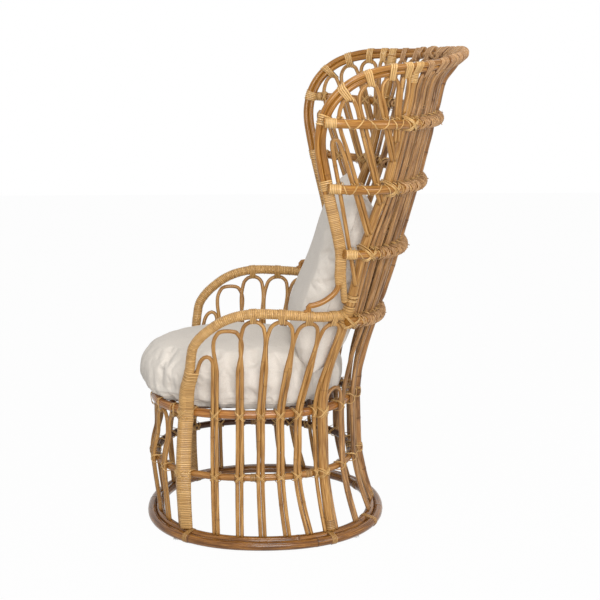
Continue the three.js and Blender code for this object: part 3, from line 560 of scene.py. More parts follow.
# The back and rear hairpins take a darker, more blotched copy of the natural rattan: painted shade, with
# more bark blotches.
shaded = rattan("rattan_back", (0.56, 0.32, 0.13), (0.28, 0.135, 0.046), (0.075, 0.028, 0.009),
                blotch=0.95)
hairpin_lines = {}
hairpins = sorted(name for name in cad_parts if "hairpin" in name)
for node in hairpins:
    points = hairpin_centre_line(node)
    if node.startswith("wing"):
        points = run_on(points, back_pole_lines["left" if "left" in node else "right"])
    hairpin_lines[node] = smooth_line(points)
    finish = shaded if node.startswith(("back", "rear")) else natural
    fasten(pole(node + "_pole", hairpin_lines[node], hairpin_diameter, finish, sides=12, step=0.008,
                node_gap=(0.22, 0.5)), "natural_rattan", node)

# Front skirt. Six small arches of the same thin pole stand between the front posts, under the
# edge of the seat; they overlap side by side, and the outer leg of each stands against the next.
skirt_levels = 8
arch_room = 0.04
foot_room = 0.0005


def outlines_at(node, height):
    mesh = merged_copy(node)
    everything = mesh.verts[:] + mesh.edges[:] + mesh.faces[:]
    bmesh.ops.bisect_plane(mesh, geom=everything, plane_co=(0, 0, height), plane_no=(0, 0, 1),
                           clear_inner=True, clear_outer=True)
    seen, outlines = set(), []
    for start in mesh.verts:
        if start not in seen:
            seen.add(start)
            outline = [start]
            for vert in outline:
                beside = [edge.other_vert(vert) for edge in vert.link_edges]
                outline += [other for other in beside if other not in seen]
                seen.update(beside)
            outlines.append(np.array([vert.co[:] for vert in outline]))
    mesh.free()
    return outlines


def legs_at(node, height, diameter):
    centres = []
    for outline in outlines_at(node, height):
        apart = np.linalg.norm(outline[:, None] - outline[None], axis=2)
        one, two = np.unravel_index(np.argmax(apart), apart.shape)
        inward = (outline[two] - outline[one]) / apart[one, two] * diameter / 2
        if apart[one, two] > 1.5 * diameter:
            centres += [outline[one] + inward, outline[two] - inward]
        else:
            centres.append((outline.min(axis=0) + outline.max(axis=0)) / 2)
    return sorted(centres, key=lambda place: place[0])


def arch_between(first, second, rise, count=8):
    middle, reach = (first[-1] + second[-1]) / 2, (second[-1] - first[-1]) / 2
    turns = np.linspace(0, math.pi, count + 1)[1:-1]
    top = [middle - reach * math.cos(turn) + np.array([0, 0, rise]) * math.sin(turn) for turn in turns]
    return np.vstack([first, top, second[::-1]])


skirt_low, skirt_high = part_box("front_skirt")
levels = np.linspace(skirt_low[2] + foot_room, skirt_high[2] - arch_room, skirt_levels)
legs = np.array([legs_at("front_skirt", height, hairpin_diameter) for height in levels])
legs = legs.transpose(1, 0, 2)
skirt_lines = []
for label, outward in (("left", legs[::-1]), ("right", legs)):
    for index in range(3):
        first, second = outward[2 * index + 1], outward[2 * index]
        line = smooth_line(arch_between(first, second, arch_room - hairpin_diameter / 2))
        skirt_lines.append(line)
        fasten(pole(f"skirt_arch_{label}_{index + 1}", line, hairpin_diameter, natural, sides=12,
                    step=0.008), "natural_rattan", "front_skirt")

# Rear pole. A thick pole up the middle of the back, from the floor ring to the rim, rough-barked
# and weathered; the hoops are let into it where they cross, and it is nailed to each.
rear_pole_diameter = 0.0235
rear_levels = 36
rim_room = 0.02
weathered = rattan("rattan_weathered", (0.54, 0.29, 0.11), (0.29, 0.13, 0.039), (0.08, 0.027, 0.008),
                   blotch=0.95, rings=0.8)
rear_low, rear_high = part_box("rear_pole")
levels = np.linspace(rear_low[2] + foot_room, rear_high[2] - rim_room, rear_levels)
rear_points = [legs_at("rear_pole", height, rear_pole_diameter)[0] for height in levels]
rear_points.append(rear_points[-1] + (rear_points[-1] - rear_points[-2]) * 0.4)
rear_pole_line = smooth_line(rear_points)
fasten(pole("rear_pole_bark", rear_pole_line, rear_pole_diameter, weathered, sides=18,
            node_gap=(0.11, 0.2)), "natural_rattan", "rear_pole")

# Rim and hoops. Two poles side by side make the rim, from one wing over the crown to the other,
# and the outer one lands on the arm at each end; four hoops run round the outside of the back.
rim_diameter = 0.0152
hoop_diameter = 0.0235


def halved_centre_line(node, corners=8):
    mesh = merged_copy(node)
    seed = [vert for vert in mesh.verts if abs(vert.co.x) < 1e-5]
    rings = [[vert for vert in ring if vert.co.x > -1e-5] for ring in rings_from(seed)]
    half = [np.mean([vert.co[:] for vert in ring], axis=0) for ring in rings if len(ring) == corners]
    mesh.free()
    mirrored = [(-x, y, z) for x, y, z in half[:0:-1]]
    return np.array(mirrored + [tuple(place) for place in half])


golden = rattan("rattan_golden", (0.48, 0.235, 0.050), (0.28, 0.112, 0.016), (0.09, 0.028, 0.005),
                blotch=0.5, gloss=0.26, varnish=0.4)
rim_lines = {}
brace_landing = ((0.002, 0.0145), (0.012, 0.0085))
arm_level = 0.55


def landed(points):
    points = list(points[1:-1])
    for label, end in (("right", 0), ("left", -1)):
        arm = arm_lines[label]
        upper = arm[arm[:, 2] > arm_level]
        foot = points[end]
        for ahead, above in brace_landing:
            place = upper[int(np.argmin(np.abs(upper[:, 1] - foot[1] + ahead)))]
            points.insert(0 if end == 0 else len(points), place + np.array([0, 0, above]))
    return np.array(points)


for node in ("rim_outer", "rim_inner"):
    points = halved_centre_line(node)
    rim_lines[node] = smooth_line(landed(points) if node == "rim_outer" else points)
    fasten(pole(node + "_pole", rim_lines[node], rim_diameter, golden, sides=14, node_gap=(0.35, 0.7)),
           "natural_rattan", node)
hoop_lines = {}
for node in ("hoop_arm", "hoop_low", "hoop_middle", "hoop_high"):
    hoop_lines[node] = smooth_line(halved_centre_line(node))
    fasten(pole(node + "_pole", hoop_lines[node], hoop_diameter, golden, sides=18, node_gap=(0.35, 0.7)),
           "natural_rattan", node)

# Lashings of the base. Wherever an upright crosses the middle ring or the seat ring, a split cane
# strand binds them crosswise, seen as a pale cross on the outside. The strands are soaked, pulled
# tight and tucked in, so each is a flat loop round the upright and the ring together.
strand_width = 0.0024
strand_thickness = 0.0012
upper_strand = 0.0007
squareness = 0.55
split_cane = rattan("split_cane", (0.80, 0.54, 0.24), (0.56, 0.32, 0.105), (0.24, 0.105, 0.027),
                    blotch=0.35, gloss=0.36, rings=0.85)


def strand_rows(points, outs, closed, width=strand_width, thickness=strand_thickness):
    points, outs = np.asarray(points, float), np.asarray(outs, float)
    if closed:
        points, outs = np.vstack([points, points[:1]]), np.vstack([outs, outs[:1]])
        leads = np.roll(points[:-1], -1, axis=0) - np.roll(points[:-1], 1, axis=0)
        leads[0] = points[1] - points[-2]
        leads = np.vstack([leads, leads[:1]])
    else:
        leads = np.gradient(points, axis=0)
    leads /= np.maximum(np.linalg.norm(leads, axis=1), 1e-9)[:, None]
    outs = outs - leads * np.sum(outs * leads, axis=1)[:, None]
    outs /= np.maximum(np.linalg.norm(outs, axis=1), 1e-9)[:, None]
    across = np.cross(leads, outs)
    ring = [(-0.5, 0.1), (0, 0.75), (0.5, 0.1), (0, -0.25), (-0.5, 0.1)]
    return np.stack([points + across * width * a + outs * thickness * b for a, b in ring], axis=1)


def bound(name, strands, finish, slot="wrapped_cane"):
    chance = random.Random(name)
    mesh = bare_skin()
    for rows in strands:
        rows, gaps = rows if isinstance(rows, tuple) else (rows, np.zeros(len(rows)))
        around = lengths_along(rows[0])
        along = lengths_along(rows[:, 0])[:, None]
        start = chance.uniform(0, 40)
        bark = np.full(rows.shape, start)
        if len(around) > 7:
            bark[..., 0] = around + np.arange(len(rows))[:, None] * 0.04
            bark[..., 1] = along
        else:
            bark[..., 0] = along + start
            bark[..., 1] = 0.002 * (np.arange(len(around)) % (len(around) - 1))
        lay_rows(mesh, rows, bark, gaps)
    fasten(closed_skin(name, mesh, finish, apart=1e-6, flat_ends=False), slot)


def meetings(ring, ring_radius, uprights, slack=0.006):
    found = []
    for line, radius in uprights:
        low, high = ring[:, 2].min() - 0.03, ring[:, 2].max() + 0.03
        near = np.where((line[:, 2] > low) & (line[:, 2] < high))[0]
        if not len(near):
            continue
        for run in np.split(near, np.where(np.diff(near) > 1)[0] + 1):
            apart = np.linalg.norm(line[run][:, None] - ring[None], axis=2)
            spot = np.unravel_index(np.argmin(apart), apart.shape)
            if apart[spot] < ring_radius + radius + slack:
                at = run[spot[0]]
                lead = line[min(at + 2, len(line) - 1)] - line[max(at - 2, 0)]
                found.append((spot[1], line[at], lead / np.linalg.norm(lead), radius))
    return sorted(found, key=lambda one: one[0])


def gathered(found, apart=0.0165):
    groups = []
    for one in found:
        last = groups[-1][-1] if groups else None
        if last is not None and np.linalg.norm(one[1] - last[1]) < apart and abs(one[3] - last[3]) < 0.003:
            groups[-1].append(one)
        else:
            groups.append([one])
    return groups


def crossing_axes(ring, group):
    at = int(np.mean([one[0] for one in group]))
    lead = ring[min(at + 3, len(ring) - 1)] - ring[max(at - 3, 0)]
    lead /= np.linalg.norm(lead)
    middle = np.mean([one[1] for one in group], axis=0)
    out = middle - ring[at]
    out -= lead * np.dot(out, lead)
    depth = np.linalg.norm(out)
    out /= depth
    up = np.cross(out, lead)
    if up[2] < 0:
        up, lead = -up, -lead
    spread = max(abs(np.dot(one[1] - middle, lead)) for one in group)
    return ring[at], middle, lead, up, out, depth, spread


def cross_loops(ring, ring_radius, group, chance, strands=2, loose=0.05, count=16, front=None,
                grow=1.0, width=strand_width):
    centre, middle, lead, up, out, depth, spread = crossing_axes(ring, group)
    radius = group[0][3]
    half = (spread + radius) * grow
    slant = math.atan2(ring_radius * grow, half)
    reach = half / math.cos(slant) * 1.04 + 0.0008
    near, far = -ring_radius - 0.0008, depth + radius + 0.0008
    if front is not None:
        near = front
    origin = centre + lead * np.dot(middle - centre, lead) + out * (near + far) / 2
    half_depth = (far - near) / 2
    turns = np.linspace(0, 2 * math.pi, count, endpoint=False)
    loops = []
    for way in (1, -1):
        for index in range(strands):
            tilt = way * (slant + chance.uniform(-loose, loose))
            lean = lead * math.cos(tilt) + up * math.sin(tilt)
            side = np.cross(out, lean)
            aside = (index - (strands - 1) / 2) * width * 1.15 + chance.uniform(-1, 1) * loose * 0.004
            grown = 1 + chance.uniform(0, loose)
            deep = half_depth * (1 + 0.3 * (grown - 1)) + (upper_strand if way > 0 else 0)
            c, s = np.cos(turns), np.sin(turns)
            x = np.sign(c) * np.abs(c) ** squareness * reach * grown
            y = np.sign(s) * np.abs(s) ** squareness * deep
            points = origin + side * aside + x[:, None] * lean + y[:, None] * out
            outs = (c * half_depth)[:, None] * lean + (s * reach)[:, None] * out
            loops.append(strand_rows(points, outs, True, width=width))
    return loops


thin_lines = list(hairpin_lines.values()) + skirt_lines
thin_uprights = [(line, hairpin_diameter / 2) for line in thin_lines]
thick_uprights = [(line, arm_core_diameter / 2 + cane_swell) for line in arm_lines.values()]
thick_uprights += [(line, back_pole_diameter / 2) for line in back_pole_lines.values()]
rear_upright = [(rear_pole_line, rear_pole_diameter / 2)]
for node, line, radius in (("mid_ring", mid_ring_line, mid_ring_diameter / 2),
                           ("seat_ring", seat_ring_line, seat_ring_diameter / 2)):
    chance = random.Random(node)
    loops = []
    for group in gathered(meetings(line, radius, thin_uprights)):
        loops += cross_loops(line, radius, group, chance)
    for group in gathered(meetings(line, radius, thick_uprights + rear_upright)):
        loops += cross_loops(line, radius, group, chance, strands=3, loose=0.08)
    bound(node + "_lashings", loops, split_cane)

# Bands of the base. Split cane is wound turn beside turn over the ends of each ring, where they
# meet, over the pairs of floor poles, and round the feet of the thick poles.
band_turn = 0.0042
floor_band_places = ((0.25, -0.315, 0.0075), (0.28, 0.085, 0.0085), (0.16, 0.23, 0.008),
                     (-0.25, -0.315, 0.0075), (-0.28, 0.085, 0.0085), (-0.16, 0.23, 0.008))
mid_band_places = ((0.25, -0.13), (0.235, 0.02), (-0.25, -0.13), (-0.2, 0.1))
mid_band_reach = 0.009


def band(lines, radii, low, high, turn=band_turn, per_turn=4, corners=24, cover=0.0013, slant=0.0,
         dip=0.15):
    main = lines[0]
    along = lengths_along(main)
    turns = max(2, round((high - low) / turn))
    count = turns * per_turn + 1
    lengths = np.linspace(low, high, count)
    places = places_at(main, np.clip(lengths, 0, along[-1]))
    leads = np.gradient(places, axis=0)
    leads /= np.maximum(np.linalg.norm(leads, axis=1), 1e-9)[:, None]
    start = (0, 0, 1) if abs(leads[0][2]) < 0.8 else (1, 0, 0)
    first = np.cross(leads, start)
    first /= np.linalg.norm(first, axis=1)[:, None]
    second = np.cross(leads, first)
    angles = np.linspace(0, 2 * math.pi, corners + 1)
    angles[-1] = 0
    swell = np.resize([dip, 1.0, 1.0, 0.9], count) * cover
    swell[0] = swell[-1] = -0.0003
    # painted shade along the dip row between turns
    gaps = np.resize([1.0, 0, 0, 0.0], count)
    rows = np.empty((count, corners + 1, 3))
    for i, place in enumerate(places):
        circles = [(place, radii[0])]
        for line, radius in zip(lines[1:], radii[1:]):
            gap = (line - place) @ leads[i]
            spread = np.linalg.norm(line - place, axis=1) + 20 * np.abs(gap)
            best = line[int(np.argmin(spread))]
            circles.append((best - leads[i] * np.dot(best - place, leads[i]), radius))
        for j, angle in enumerate(angles):
            away = first[i] * math.cos(angle) + second[i] * math.sin(angle)
            centre, radius = max(circles, key=lambda one: np.dot(one[0] - place, away) + one[1])
            rows[i, j] = centre + away * (radius + swell[i]) + leads[i] * slant * math.sin(angle)
    return rows, gaps


def nearest_length(line, point):
    return lengths_along(line)[int(np.argmin(np.linalg.norm(line - np.asarray(point), axis=1)))]


def closed_twice(line):
    return np.vstack([line, line[1:]])


def height_length(line, height):
    return float(np.interp(height, line[:, 2], lengths_along(line)))


base_bands = []
floor_pair = [closed_twice(floor_outer_line), floor_inner_line]
for x, y, half in floor_band_places:
    at = nearest_length(floor_outer_line, (x, y, floor_outer_line[0, 2]))
    base_bands.append(band(floor_pair, [floor_pole_diameter / 2] * 2, at - half, at + half))
for x, y in mid_band_places:
    at = nearest_length(mid_ring_line, (x, y, mid_ring_line[0, 2]))
    base_bands.append(band([closed_twice(mid_ring_line)], [mid_ring_diameter / 2], at - mid_band_reach,
                           at + mid_band_reach, corners=16))
for line in back_pole_lines.values():
    base_bands.append(band([line], [back_pole_diameter / 2], 0.003, 0.03, corners=18))
base_bands.append(band([rear_pole_line], [rear_pole_diameter / 2], 0.003, 0.022, corners=18))
brown_cane = rattan("cane_bands", (0.56, 0.34, 0.13), (0.34, 0.175, 0.052), (0.13, 0.05, 0.014),
                    blotch=0.4, rings=0.85)
bound("base_bands", base_bands, brown_cane)

# Lashings of the back. On the outside of each hoop one strand runs to and fro in a zigzag, up over
# the hoop at each pair of hairpins and down under it between them; thick poles get broad crosses
# of three strands. Round the rear they are rougher and lie close, with their ends sticking out.
rough_cane = rattan("rough_cane", (0.66, 0.42, 0.21), (0.40, 0.21, 0.085), (0.13, 0.05, 0.02),
                    blotch=0.6, gloss=0.5, rings=0.85)
hoop_end_wrap = (0.003, 0.033)
rear_room = 0.03
rope_pitch = (0.03, 0.042)
rope_reach_inside = 0.011
loose_ends = 12


def hoop_axes(hoop):
    leads = np.gradient(hoop, axis=0)
    leads /= np.linalg.norm(leads, axis=1)[:, None]
    outward = hoop - np.array([0, hoop[:, 1].min(), 0])
    outward[:, 2] = 0
    outward -= leads * np.sum(outward * leads, axis=1)[:, None]
    outward /= np.linalg.norm(outward, axis=1)[:, None]
    above = np.array([0, 0, 1.0]) - leads * leads[:, 2:]
    above /= np.linalg.norm(above, axis=1)[:, None]
    return outward, above


def zigzag(hoop, radius, tops, chance, bulge=0.0009, steep=112, width=0.0038):
    outward, above = hoop_axes(hoop)
    stops = []
    for one, two in zip(tops[:-1], tops[1:]):
        stops += [(one, 1.0), ((one + two) / 2 + chance.uniform(-2, 2), -1.0)]
    stops.append((tops[-1], 1.0))
    points, outs = [], []
    for (a, high), (b, low) in zip(stops[:-1], stops[1:]):
        for part in np.linspace(0, 1, 7)[:-1]:
            at = min(max(a + (b - a) * part, 0), len(hoop) - 1)
            angle = math.radians(steep) * (high + (low - high) * part)
            i = int(at)
            away = outward[i] * math.cos(angle) + above[i] * math.sin(angle)
            points.append(hoop[i] + away * (radius + bulge))
            outs.append(away)
    return strand_rows(points, outs, False, width=width)


def roped(hoop, radius, start, end, pitch, way, bulge, chance, width=0.0042):
    outward, above = hoop_axes(hoop)
    along = lengths_along(hoop)
    points, outs = [], []
    turned, length = chance.uniform(0, 6.28), start
    while length < end:
        i = int(np.searchsorted(along, length))
        i = min(i, len(hoop) - 1)
        deep = radius + bulge + (rope_reach_inside if math.cos(turned) < 0 else 0)
        away = outward[i] * math.cos(turned) * deep + above[i] * math.sin(turned) * (radius + bulge)
        points.append(hoop[i] + away)
        outs.append(away)
        turned += way * 2 * math.pi / 14
        length += pitch / 14 * chance.uniform(0.7, 1.3)
    return strand_rows(points, outs, False, width=width, thickness=0.0024)


def loose_end(place, away, chance):
    lean = np.array([chance.uniform(-1, 1), chance.uniform(-0.4, 1), chance.uniform(-1, 1)])
    lean = away * 0.45 + lean * 0.9
    lean /= np.linalg.norm(lean)
    reach = chance.uniform(0.005, 0.010)
    points = [place + lean * reach * part for part in (0, 0.4, 0.75, 1)]
    return strand_rows(points, [np.cross(lean, (0.3, 0.5, 1))] * 4, False, width=0.0024)


for node, line in hoop_lines.items():
    chance = random.Random(node)
    radius = hoop_diameter / 2
    along = lengths_along(line)
    groups = gathered(meetings(line, radius, thin_uprights))
    posts = gathered(meetings(line, radius, thick_uprights))
    tops = [float(np.mean([one[0] for one in group])) for group in groups]
    strands = [zigzag(line, radius, tops, chance)]
    for group in groups:
        strands += cross_loops(line, radius, group, chance, front=radius * 0.3, loose=0.1)
    for group in posts:
        strands += cross_loops(line, radius, group, chance, strands=3, loose=0.12, grow=1.15, width=0.003)
    if node != "hoop_arm":
        near, far = hoop_end_wrap
        for low, high in ((near, far), (along[-1] - far, along[-1] - near)):
            strands.append(band([line], [radius], low, high, corners=18))
    bound(node + "_lashings", strands, split_cane)
    rear = []
    poles_met = [group[0][0] for group in posts]
    left_pole, right_pole = min(poles_met), max(poles_met)
    start, end = along[left_pole] + rear_room, along[right_pole] - rear_room
    for way in (1, -1, 1, -1):
        for bulge in (0.0008, 0.0024):
            rear.append(roped(line, radius, start, end, chance.uniform(*rope_pitch), way, bulge, chance))
    outward, above = hoop_axes(line)
    for _ in range(loose_ends):
        i = chance.randrange(left_pole + 15, right_pole - 15)
        turned = chance.uniform(-1.9, 1.9)
        away = outward[i] * math.cos(turned) + above[i] * math.sin(turned)
        rear.append(loose_end(line[i] + away * (radius + 0.001), away, chance))
    bound(node + "_rear_lashings", rear, rough_cane)

# Rim wraps. At the head of every arch, and where a hoop ends, the two rim poles are bound together
# by a few turns of split cane; rougher turns lie close over the rear of the crown.
rim_radius, hairpin_radius = rim_diameter / 2, hairpin_diameter / 2
rim_outer, rim_inner = rim_lines["rim_outer"], rim_lines["rim_inner"]
rim_pair = [rim_outer, rim_inner]
wide_turns = {"turn": 0.0055, "cover": 0.0018, "dip": -0.6}
arch_within = 0.022
hoop_wrap_reach = 0.014
crown_wraps = 19
crown_reach = 0.25
crown_start = 0.3


def crest(line):
    return line[int(np.argmax(line[:, 2]))]


def apart_from(point, line):
    return float(np.linalg.norm(line - point, axis=1).min())


wraps, rear_wraps = [], []
chance = random.Random("rim wraps")
for node, line in hairpin_lines.items():
    top = crest(line)
    if node.startswith(("wing", "back")) and apart_from(top, rim_inner) < arch_within:
        at = nearest_length(rim_outer, top)
        half = chance.uniform(0.0095, 0.0115)
        turned = chance.uniform(-0.005, 0.005)
        wrap = band([*rim_pair, line], [rim_radius, rim_radius, hairpin_radius], at - half, at + half,
                    slant=turned, **wide_turns)
        (rear_wraps if top[1] > crown_start else wraps).append(wrap)
for post in back_pole_lines.values():
    at, end = nearest_length(rim_outer, post[-1]), lengths_along(post)[-1]
    wraps.append(band(rim_pair, [rim_radius] * 2, at - 0.012, at + 0.012, slant=0.003))
    wraps.append(band([post], [back_pole_diameter / 2], end - 0.03, end - 0.004))
for node in ("hoop_middle", "hoop_high"):
    for end in (0, -1):
        at = nearest_length(rim_outer, hoop_lines[node][end])
        wraps.append(band(rim_pair, [rim_radius] * 2, at - hoop_wrap_reach, at + hoop_wrap_reach,
                          slant=0.003, **wide_turns))
middle = nearest_length(rim_outer, (0, cad_box[1][1], cad_box[1][2]))
for step in np.linspace(-crown_reach, crown_reach, crown_wraps):
    half = chance.uniform(0.006, 0.011)
    cover, turned = chance.uniform(0.003, 0.0068), chance.uniform(-0.012, 0.012)
    rear_wraps.append(band(rim_pair, [rim_radius] * 2, middle + step - half, middle + step + half,
                           turn=wide_turns["turn"], cover=cover, slant=turned))
bound("rim_wraps", wraps, split_cane)
bound("rim_rear_wraps", rear_wraps, rough_cane)

# Wing wraps. From the middle hoop down, both rim poles of a wing are wound together with cane;
# below, the outer one runs on bare to the arm as a brace, and the inner one is wound to its end.
# The thick back poles are wound where the arm and the arm hoop meet them.
pair_wound = (0.128, 0.378)
end_wound = (0.004, 0.078)
pole_wraps = ((0.598, 0.652, 0.0022), (0.664, 0.671, 0.0028), (0.674, 0.681, 0.0028))
wing_wraps = []
for label in ("left", "right"):
    outer, inner = (rim_outer[::-1], rim_inner[::-1]) if label == "left" else (rim_outer, rim_inner)
    wing_wraps.append(band([outer, inner], [rim_radius - 0.0006] * 2, *pair_wound, turn=0.0047,
                           corners=26, slant=0.0012))
    wing_wraps.append(band([inner], [rim_radius], *end_wound, turn=0.0047, corners=16, slant=0.001))
    post = back_pole_lines[label]
    for low, high, more in pole_wraps:
        wing_wraps.append(band([post], [back_pole_diameter / 2 + more], height_length(post, low),
                               height_length(post, high), turn=0.0068, corners=20))
bound("wing_wraps", wing_wraps, cane)

# Post wraps. The inner leg of the first arch is wound together with the front post, from the
# floor ring up to where the arch leaves it.
leg_start = 0.001
arch_leaves = 0.478
front_of = -0.25
post_wraps = []
for label, arm in arm_lines.items():
    leg = hairpin_lines[f"arm_hairpin_{label}_1"]
    leg = leg[leg[:, 1] < front_of]
    rising = arm[:int(np.argmax(arm[:, 2]))]
    post_wraps.append(band([arm, leg], [arm_core_diameter / 2 + 0.0004, hairpin_radius], leg_start,
                           height_length(rising, arch_leaves), turn=cane_turn, corners=28))
bound("post_wraps", post_wraps, cane)

# Arm wraps. Extra turns of cane bind the head of every arch that reaches the arm to it.
arm_wrap_reach = 0.009
arm_within = 0.026
arm_wraps = []
arm_radius = arm_core_diameter / 2 + cane_swell
for label, arm in arm_lines.items():
    for index in range(1, 7):
        line = hairpin_lines[f"arm_hairpin_{label}_{index}"]
        top = crest(line)
        if apart_from(top, arm) < arm_within:
            at = nearest_length(arm, top)
            arm_wraps.append(band([arm, line], [arm_radius, hairpin_radius], at - arm_wrap_reach,
                                  at + arm_wrap_reach))
bound("arm_wraps", arm_wraps, cane)

# Cushions. A round seat cushion and a loose square back cushion, both soft-filled and covered in
# thick undyed linen with plain closed seams. The filling presses the roomy cover outward, and the
# cloth puckers where the seams hold it in.
linen_light = (0.72, 0.665, 0.60)
linen_shade = (0.63, 0.575, 0.505)
cloth_grain = 0.006
cushion_inset = 0.007
cushion_swell = 0.011
cover_roominess = 0.05
seat_foot_swell = 0.1
seat_sag = 0.008
seat_seam_height = 0.377
back_middle = np.array([0, 0.0868, 0.70])
back_facing = np.array([0, 0.9636, -0.2672])
back_slack_share = 0.32


def linen(name):
    finish, nodes, links, shader = new_finish(name)
    place = added(nodes, "TexCoord")

    def threads(direction):
        stretch = added(nodes, "Mapping", {"Scale": direction})
        run = added(nodes, "TexNoise", {"Scale": 1, "Detail": 3})
        links.new(place.outputs["Object"], stretch.inputs["Vector"])
        links.new(stretch.outputs["Vector"], run.inputs["Vector"])
        return run.outputs["Fac"]

    weave = added(nodes, "Mix")
    weave.data_type = "FLOAT"
    links.new(threads((90, 1100, 1100)), weave.inputs["A"])
    links.new(threads((1100, 260, 260)), weave.inputs["B"])
    tones = toned(nodes, ((0.38, linen_shade), (0.62, linen_light)))
    links.new(weave.outputs["Result"], tones.inputs["Fac"])
    links.new(tones.outputs["Color"], shader.inputs["Base Color"])
    creases = added(nodes, "TexNoise", {"Scale": 16, "Detail": 5, "Distortion": 1.2})
    links.new(place.outputs["Object"], creases.inputs["Vector"])
    rumple = added(nodes, "Bump", {"Strength": 0.5, "Distance": 0.006})
    links.new(creases.outputs["Fac"], rumple.inputs["Height"])
    relief = added(nodes, "Bump", {"Strength": 0.35, "Distance": 0.0006})
    links.new(weave.outputs["Result"], relief.inputs["Height"])
    links.new(rumple.outputs["Normal"], relief.inputs["Normal"])
    links.new(relief.outputs["Normal"], shader.inputs["Normal"])
    shader.inputs["Roughness"].default_value = 0.92
    shader.inputs["Sheen Weight"].default_value = 0.12
    return finish


def read_points(data, what="co"):
    flat = np.empty(len(data.vertices) * 3)
    data.vertices.foreach_get(what, flat)
    return flat.reshape(-1, 3)


def normals_of(data):
    return read_points(data, "normal")


def move_points(data, places):
    data.vertices.foreach_set("co", places.ravel())
    data.update()


def seen_mesh(piece):
    return bpy.data.meshes.new_from_object(piece.evaluated_get(bpy.context.evaluated_depsgraph_get()))


def stuffed(node, pucker, settle):
    cushion = made_piece(node + "_linen", merged_copy(node), cloth)
    cushion.data.name = node + "_form"
    even = cushion.modifiers.new("even", "REMESH")
    even.mode = "VOXEL"
    even.voxel_size = cloth_grain
    soft = cushion.modifiers.new("soft", "SMOOTH")
    soft.iterations = 8
    cushion.data = seen_mesh(cushion)
    cushion.modifiers.clear()
    starts = read_points(cushion.data) - normals_of(cushion.data) * cushion_inset
    move_points(cushion.data, starts)
    settled = starts + normals_of(cushion.data) * cushion_inset
    filling = cushion.modifiers.new("filling", "CLOTH")
    filling.settings.quality = 6
    filling.settings.use_pressure = True
    filling.settings.uniform_pressure_force = 4
    filling.settings.shrink_min = -cover_roominess
    filling.settings.tension_stiffness = 12
    filling.settings.compression_stiffness = 12
    filling.settings.bending_stiffness = 0.4
    filling.settings.effector_weights.gravity = 0
    filling.point_cache.frame_end = 20
    for frame_number in range(1, 21):
        bpy.context.scene.frame_set(frame_number)
    settled = read_points(seen_mesh(cushion))
    cushion.modifiers.clear()
    bpy.context.scene.frame_set(1)
    moved = settled - starts
    size = np.linalg.norm(moved, axis=1)
    moved *= (np.minimum(size, cushion_swell) / np.maximum(size, 1e-9))[:, None]
    settled = starts + moved
    low, high = (np.array(corner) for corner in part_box(node))
    least, most = settled.min(axis=0), settled.max(axis=0)
    settled = low + (settled - least) * (high - low) / (most - least)
    settled = settle(settled, low, high)
    move_points(cushion.data, settled)
    settled += normals_of(cushion.data) * pucker(settled)[:, None]
    move_points(cushion.data, settled)
    finer = cushion.modifiers.new("finer", "SUBSURF")
    finer.levels = finer.render_levels = 1
    cushion.data = seen_mesh(cushion)
    cushion.modifiers.clear()
    cushion.data.name = node + "_linen"
    cushion.data.materials.clear()
    cushion.data.materials.append(cloth)
    for face in cushion.data.polygons:
        face.use_smooth = True
    fasten(cushion, "linen", node)
    return cushion


def ease(values, low, high):
    share = np.clip((values - low) / (high - low), 0, 1)
    return share * share * (3 - 2 * share)


def ripple(rows, seed):
    return np.array([noise.noise((*row[:2], row[2] + seed)) for row in rows])


def seat_pucker(points):
    low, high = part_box("seat_cushion")
    share = (points[:, 2] - low[2]) / (high[2] - low[2])
    held = (1 - ease(share, 0.15, 0.8)) * ease(share, -0.05, 0.12)
    gathers = ripple(points * (46, 46, 7), 3.0) + 0.5 * ripple(points * (85, 85, 12), 9.0)
    dents = ripple(points * (9, 9, 9), 5.0) * 0.003
    return gathers * held * 0.0042 + dents


def seat_settle(points, low, high):
    middle = (low + high) / 2
    share = (points[:, 2] - low[2]) / (high[2] - low[2])
    fuller = 1 + seat_foot_swell * (1 - ease(share, 0.0, 0.32))
    points = points.copy()
    points[:, 0] = middle[0] + (points[:, 0] - middle[0]) * fuller
    points[:, 2] -= seat_sag * (1 - ease(share, 0.0, 0.3))
    return points


def back_settle(points, low, high):
    share = (points[:, 2] - low[2]) / (high[2] - low[2])
    depth = (points - back_middle) @ back_facing
    slack = np.where(depth < 0, depth, 0) * back_slack_share * ease(share, 0.15, 0.7)
    return points - slack[:, None] * back_facing


def back_pucker(points):
    low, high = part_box("back_cushion")
    across = np.abs(points[:, 0]) / high[0]
    share = (points[:, 2] - low[2]) / (high[2] - low[2])
    side = ease(across, 0.5, 0.92)
    ends = ease(np.abs(share - 0.5) * 2, 0.55, 0.95)
    gathers = side * ripple(points * (5, 8, 48), 2.0) + ends * ripple(points * (48, 8, 5), 7.0)
    dents = ripple(points * (7, 7, 7), 4.0) * 0.003
    return gathers * 0.0024 + dents


def seam_round(cushion, name, place, facing, thread=0.0026):
    mesh = bmesh.new()
    mesh.from_mesh(cushion.data)
    everything = mesh.verts[:] + mesh.edges[:] + mesh.faces[:]
    bmesh.ops.bisect_plane(mesh, geom=everything, plane_co=place, plane_no=facing,
                           clear_inner=True, clear_outer=True)
    at = max(mesh.verts, key=lambda vert: vert.co.z)
    loop, seen = [], set()
    while at is not None:
        seen.add(at)
        loop.append(at.co[:])
        at = next((edge.other_vert(at) for edge in at.link_edges if edge.other_vert(at) not in seen), None)
    mesh.free()
    loop = np.array(loop + loop[:1])
    even = places_at(loop, np.linspace(0, lengths_along(loop)[-1], 150))
    outs = even - even.mean(axis=0)
    thread_rows = strand_rows(even[:-1], outs[:-1], True, width=thread, thickness=thread)
    bound(name, [thread_rows], cloth, slot="linen")


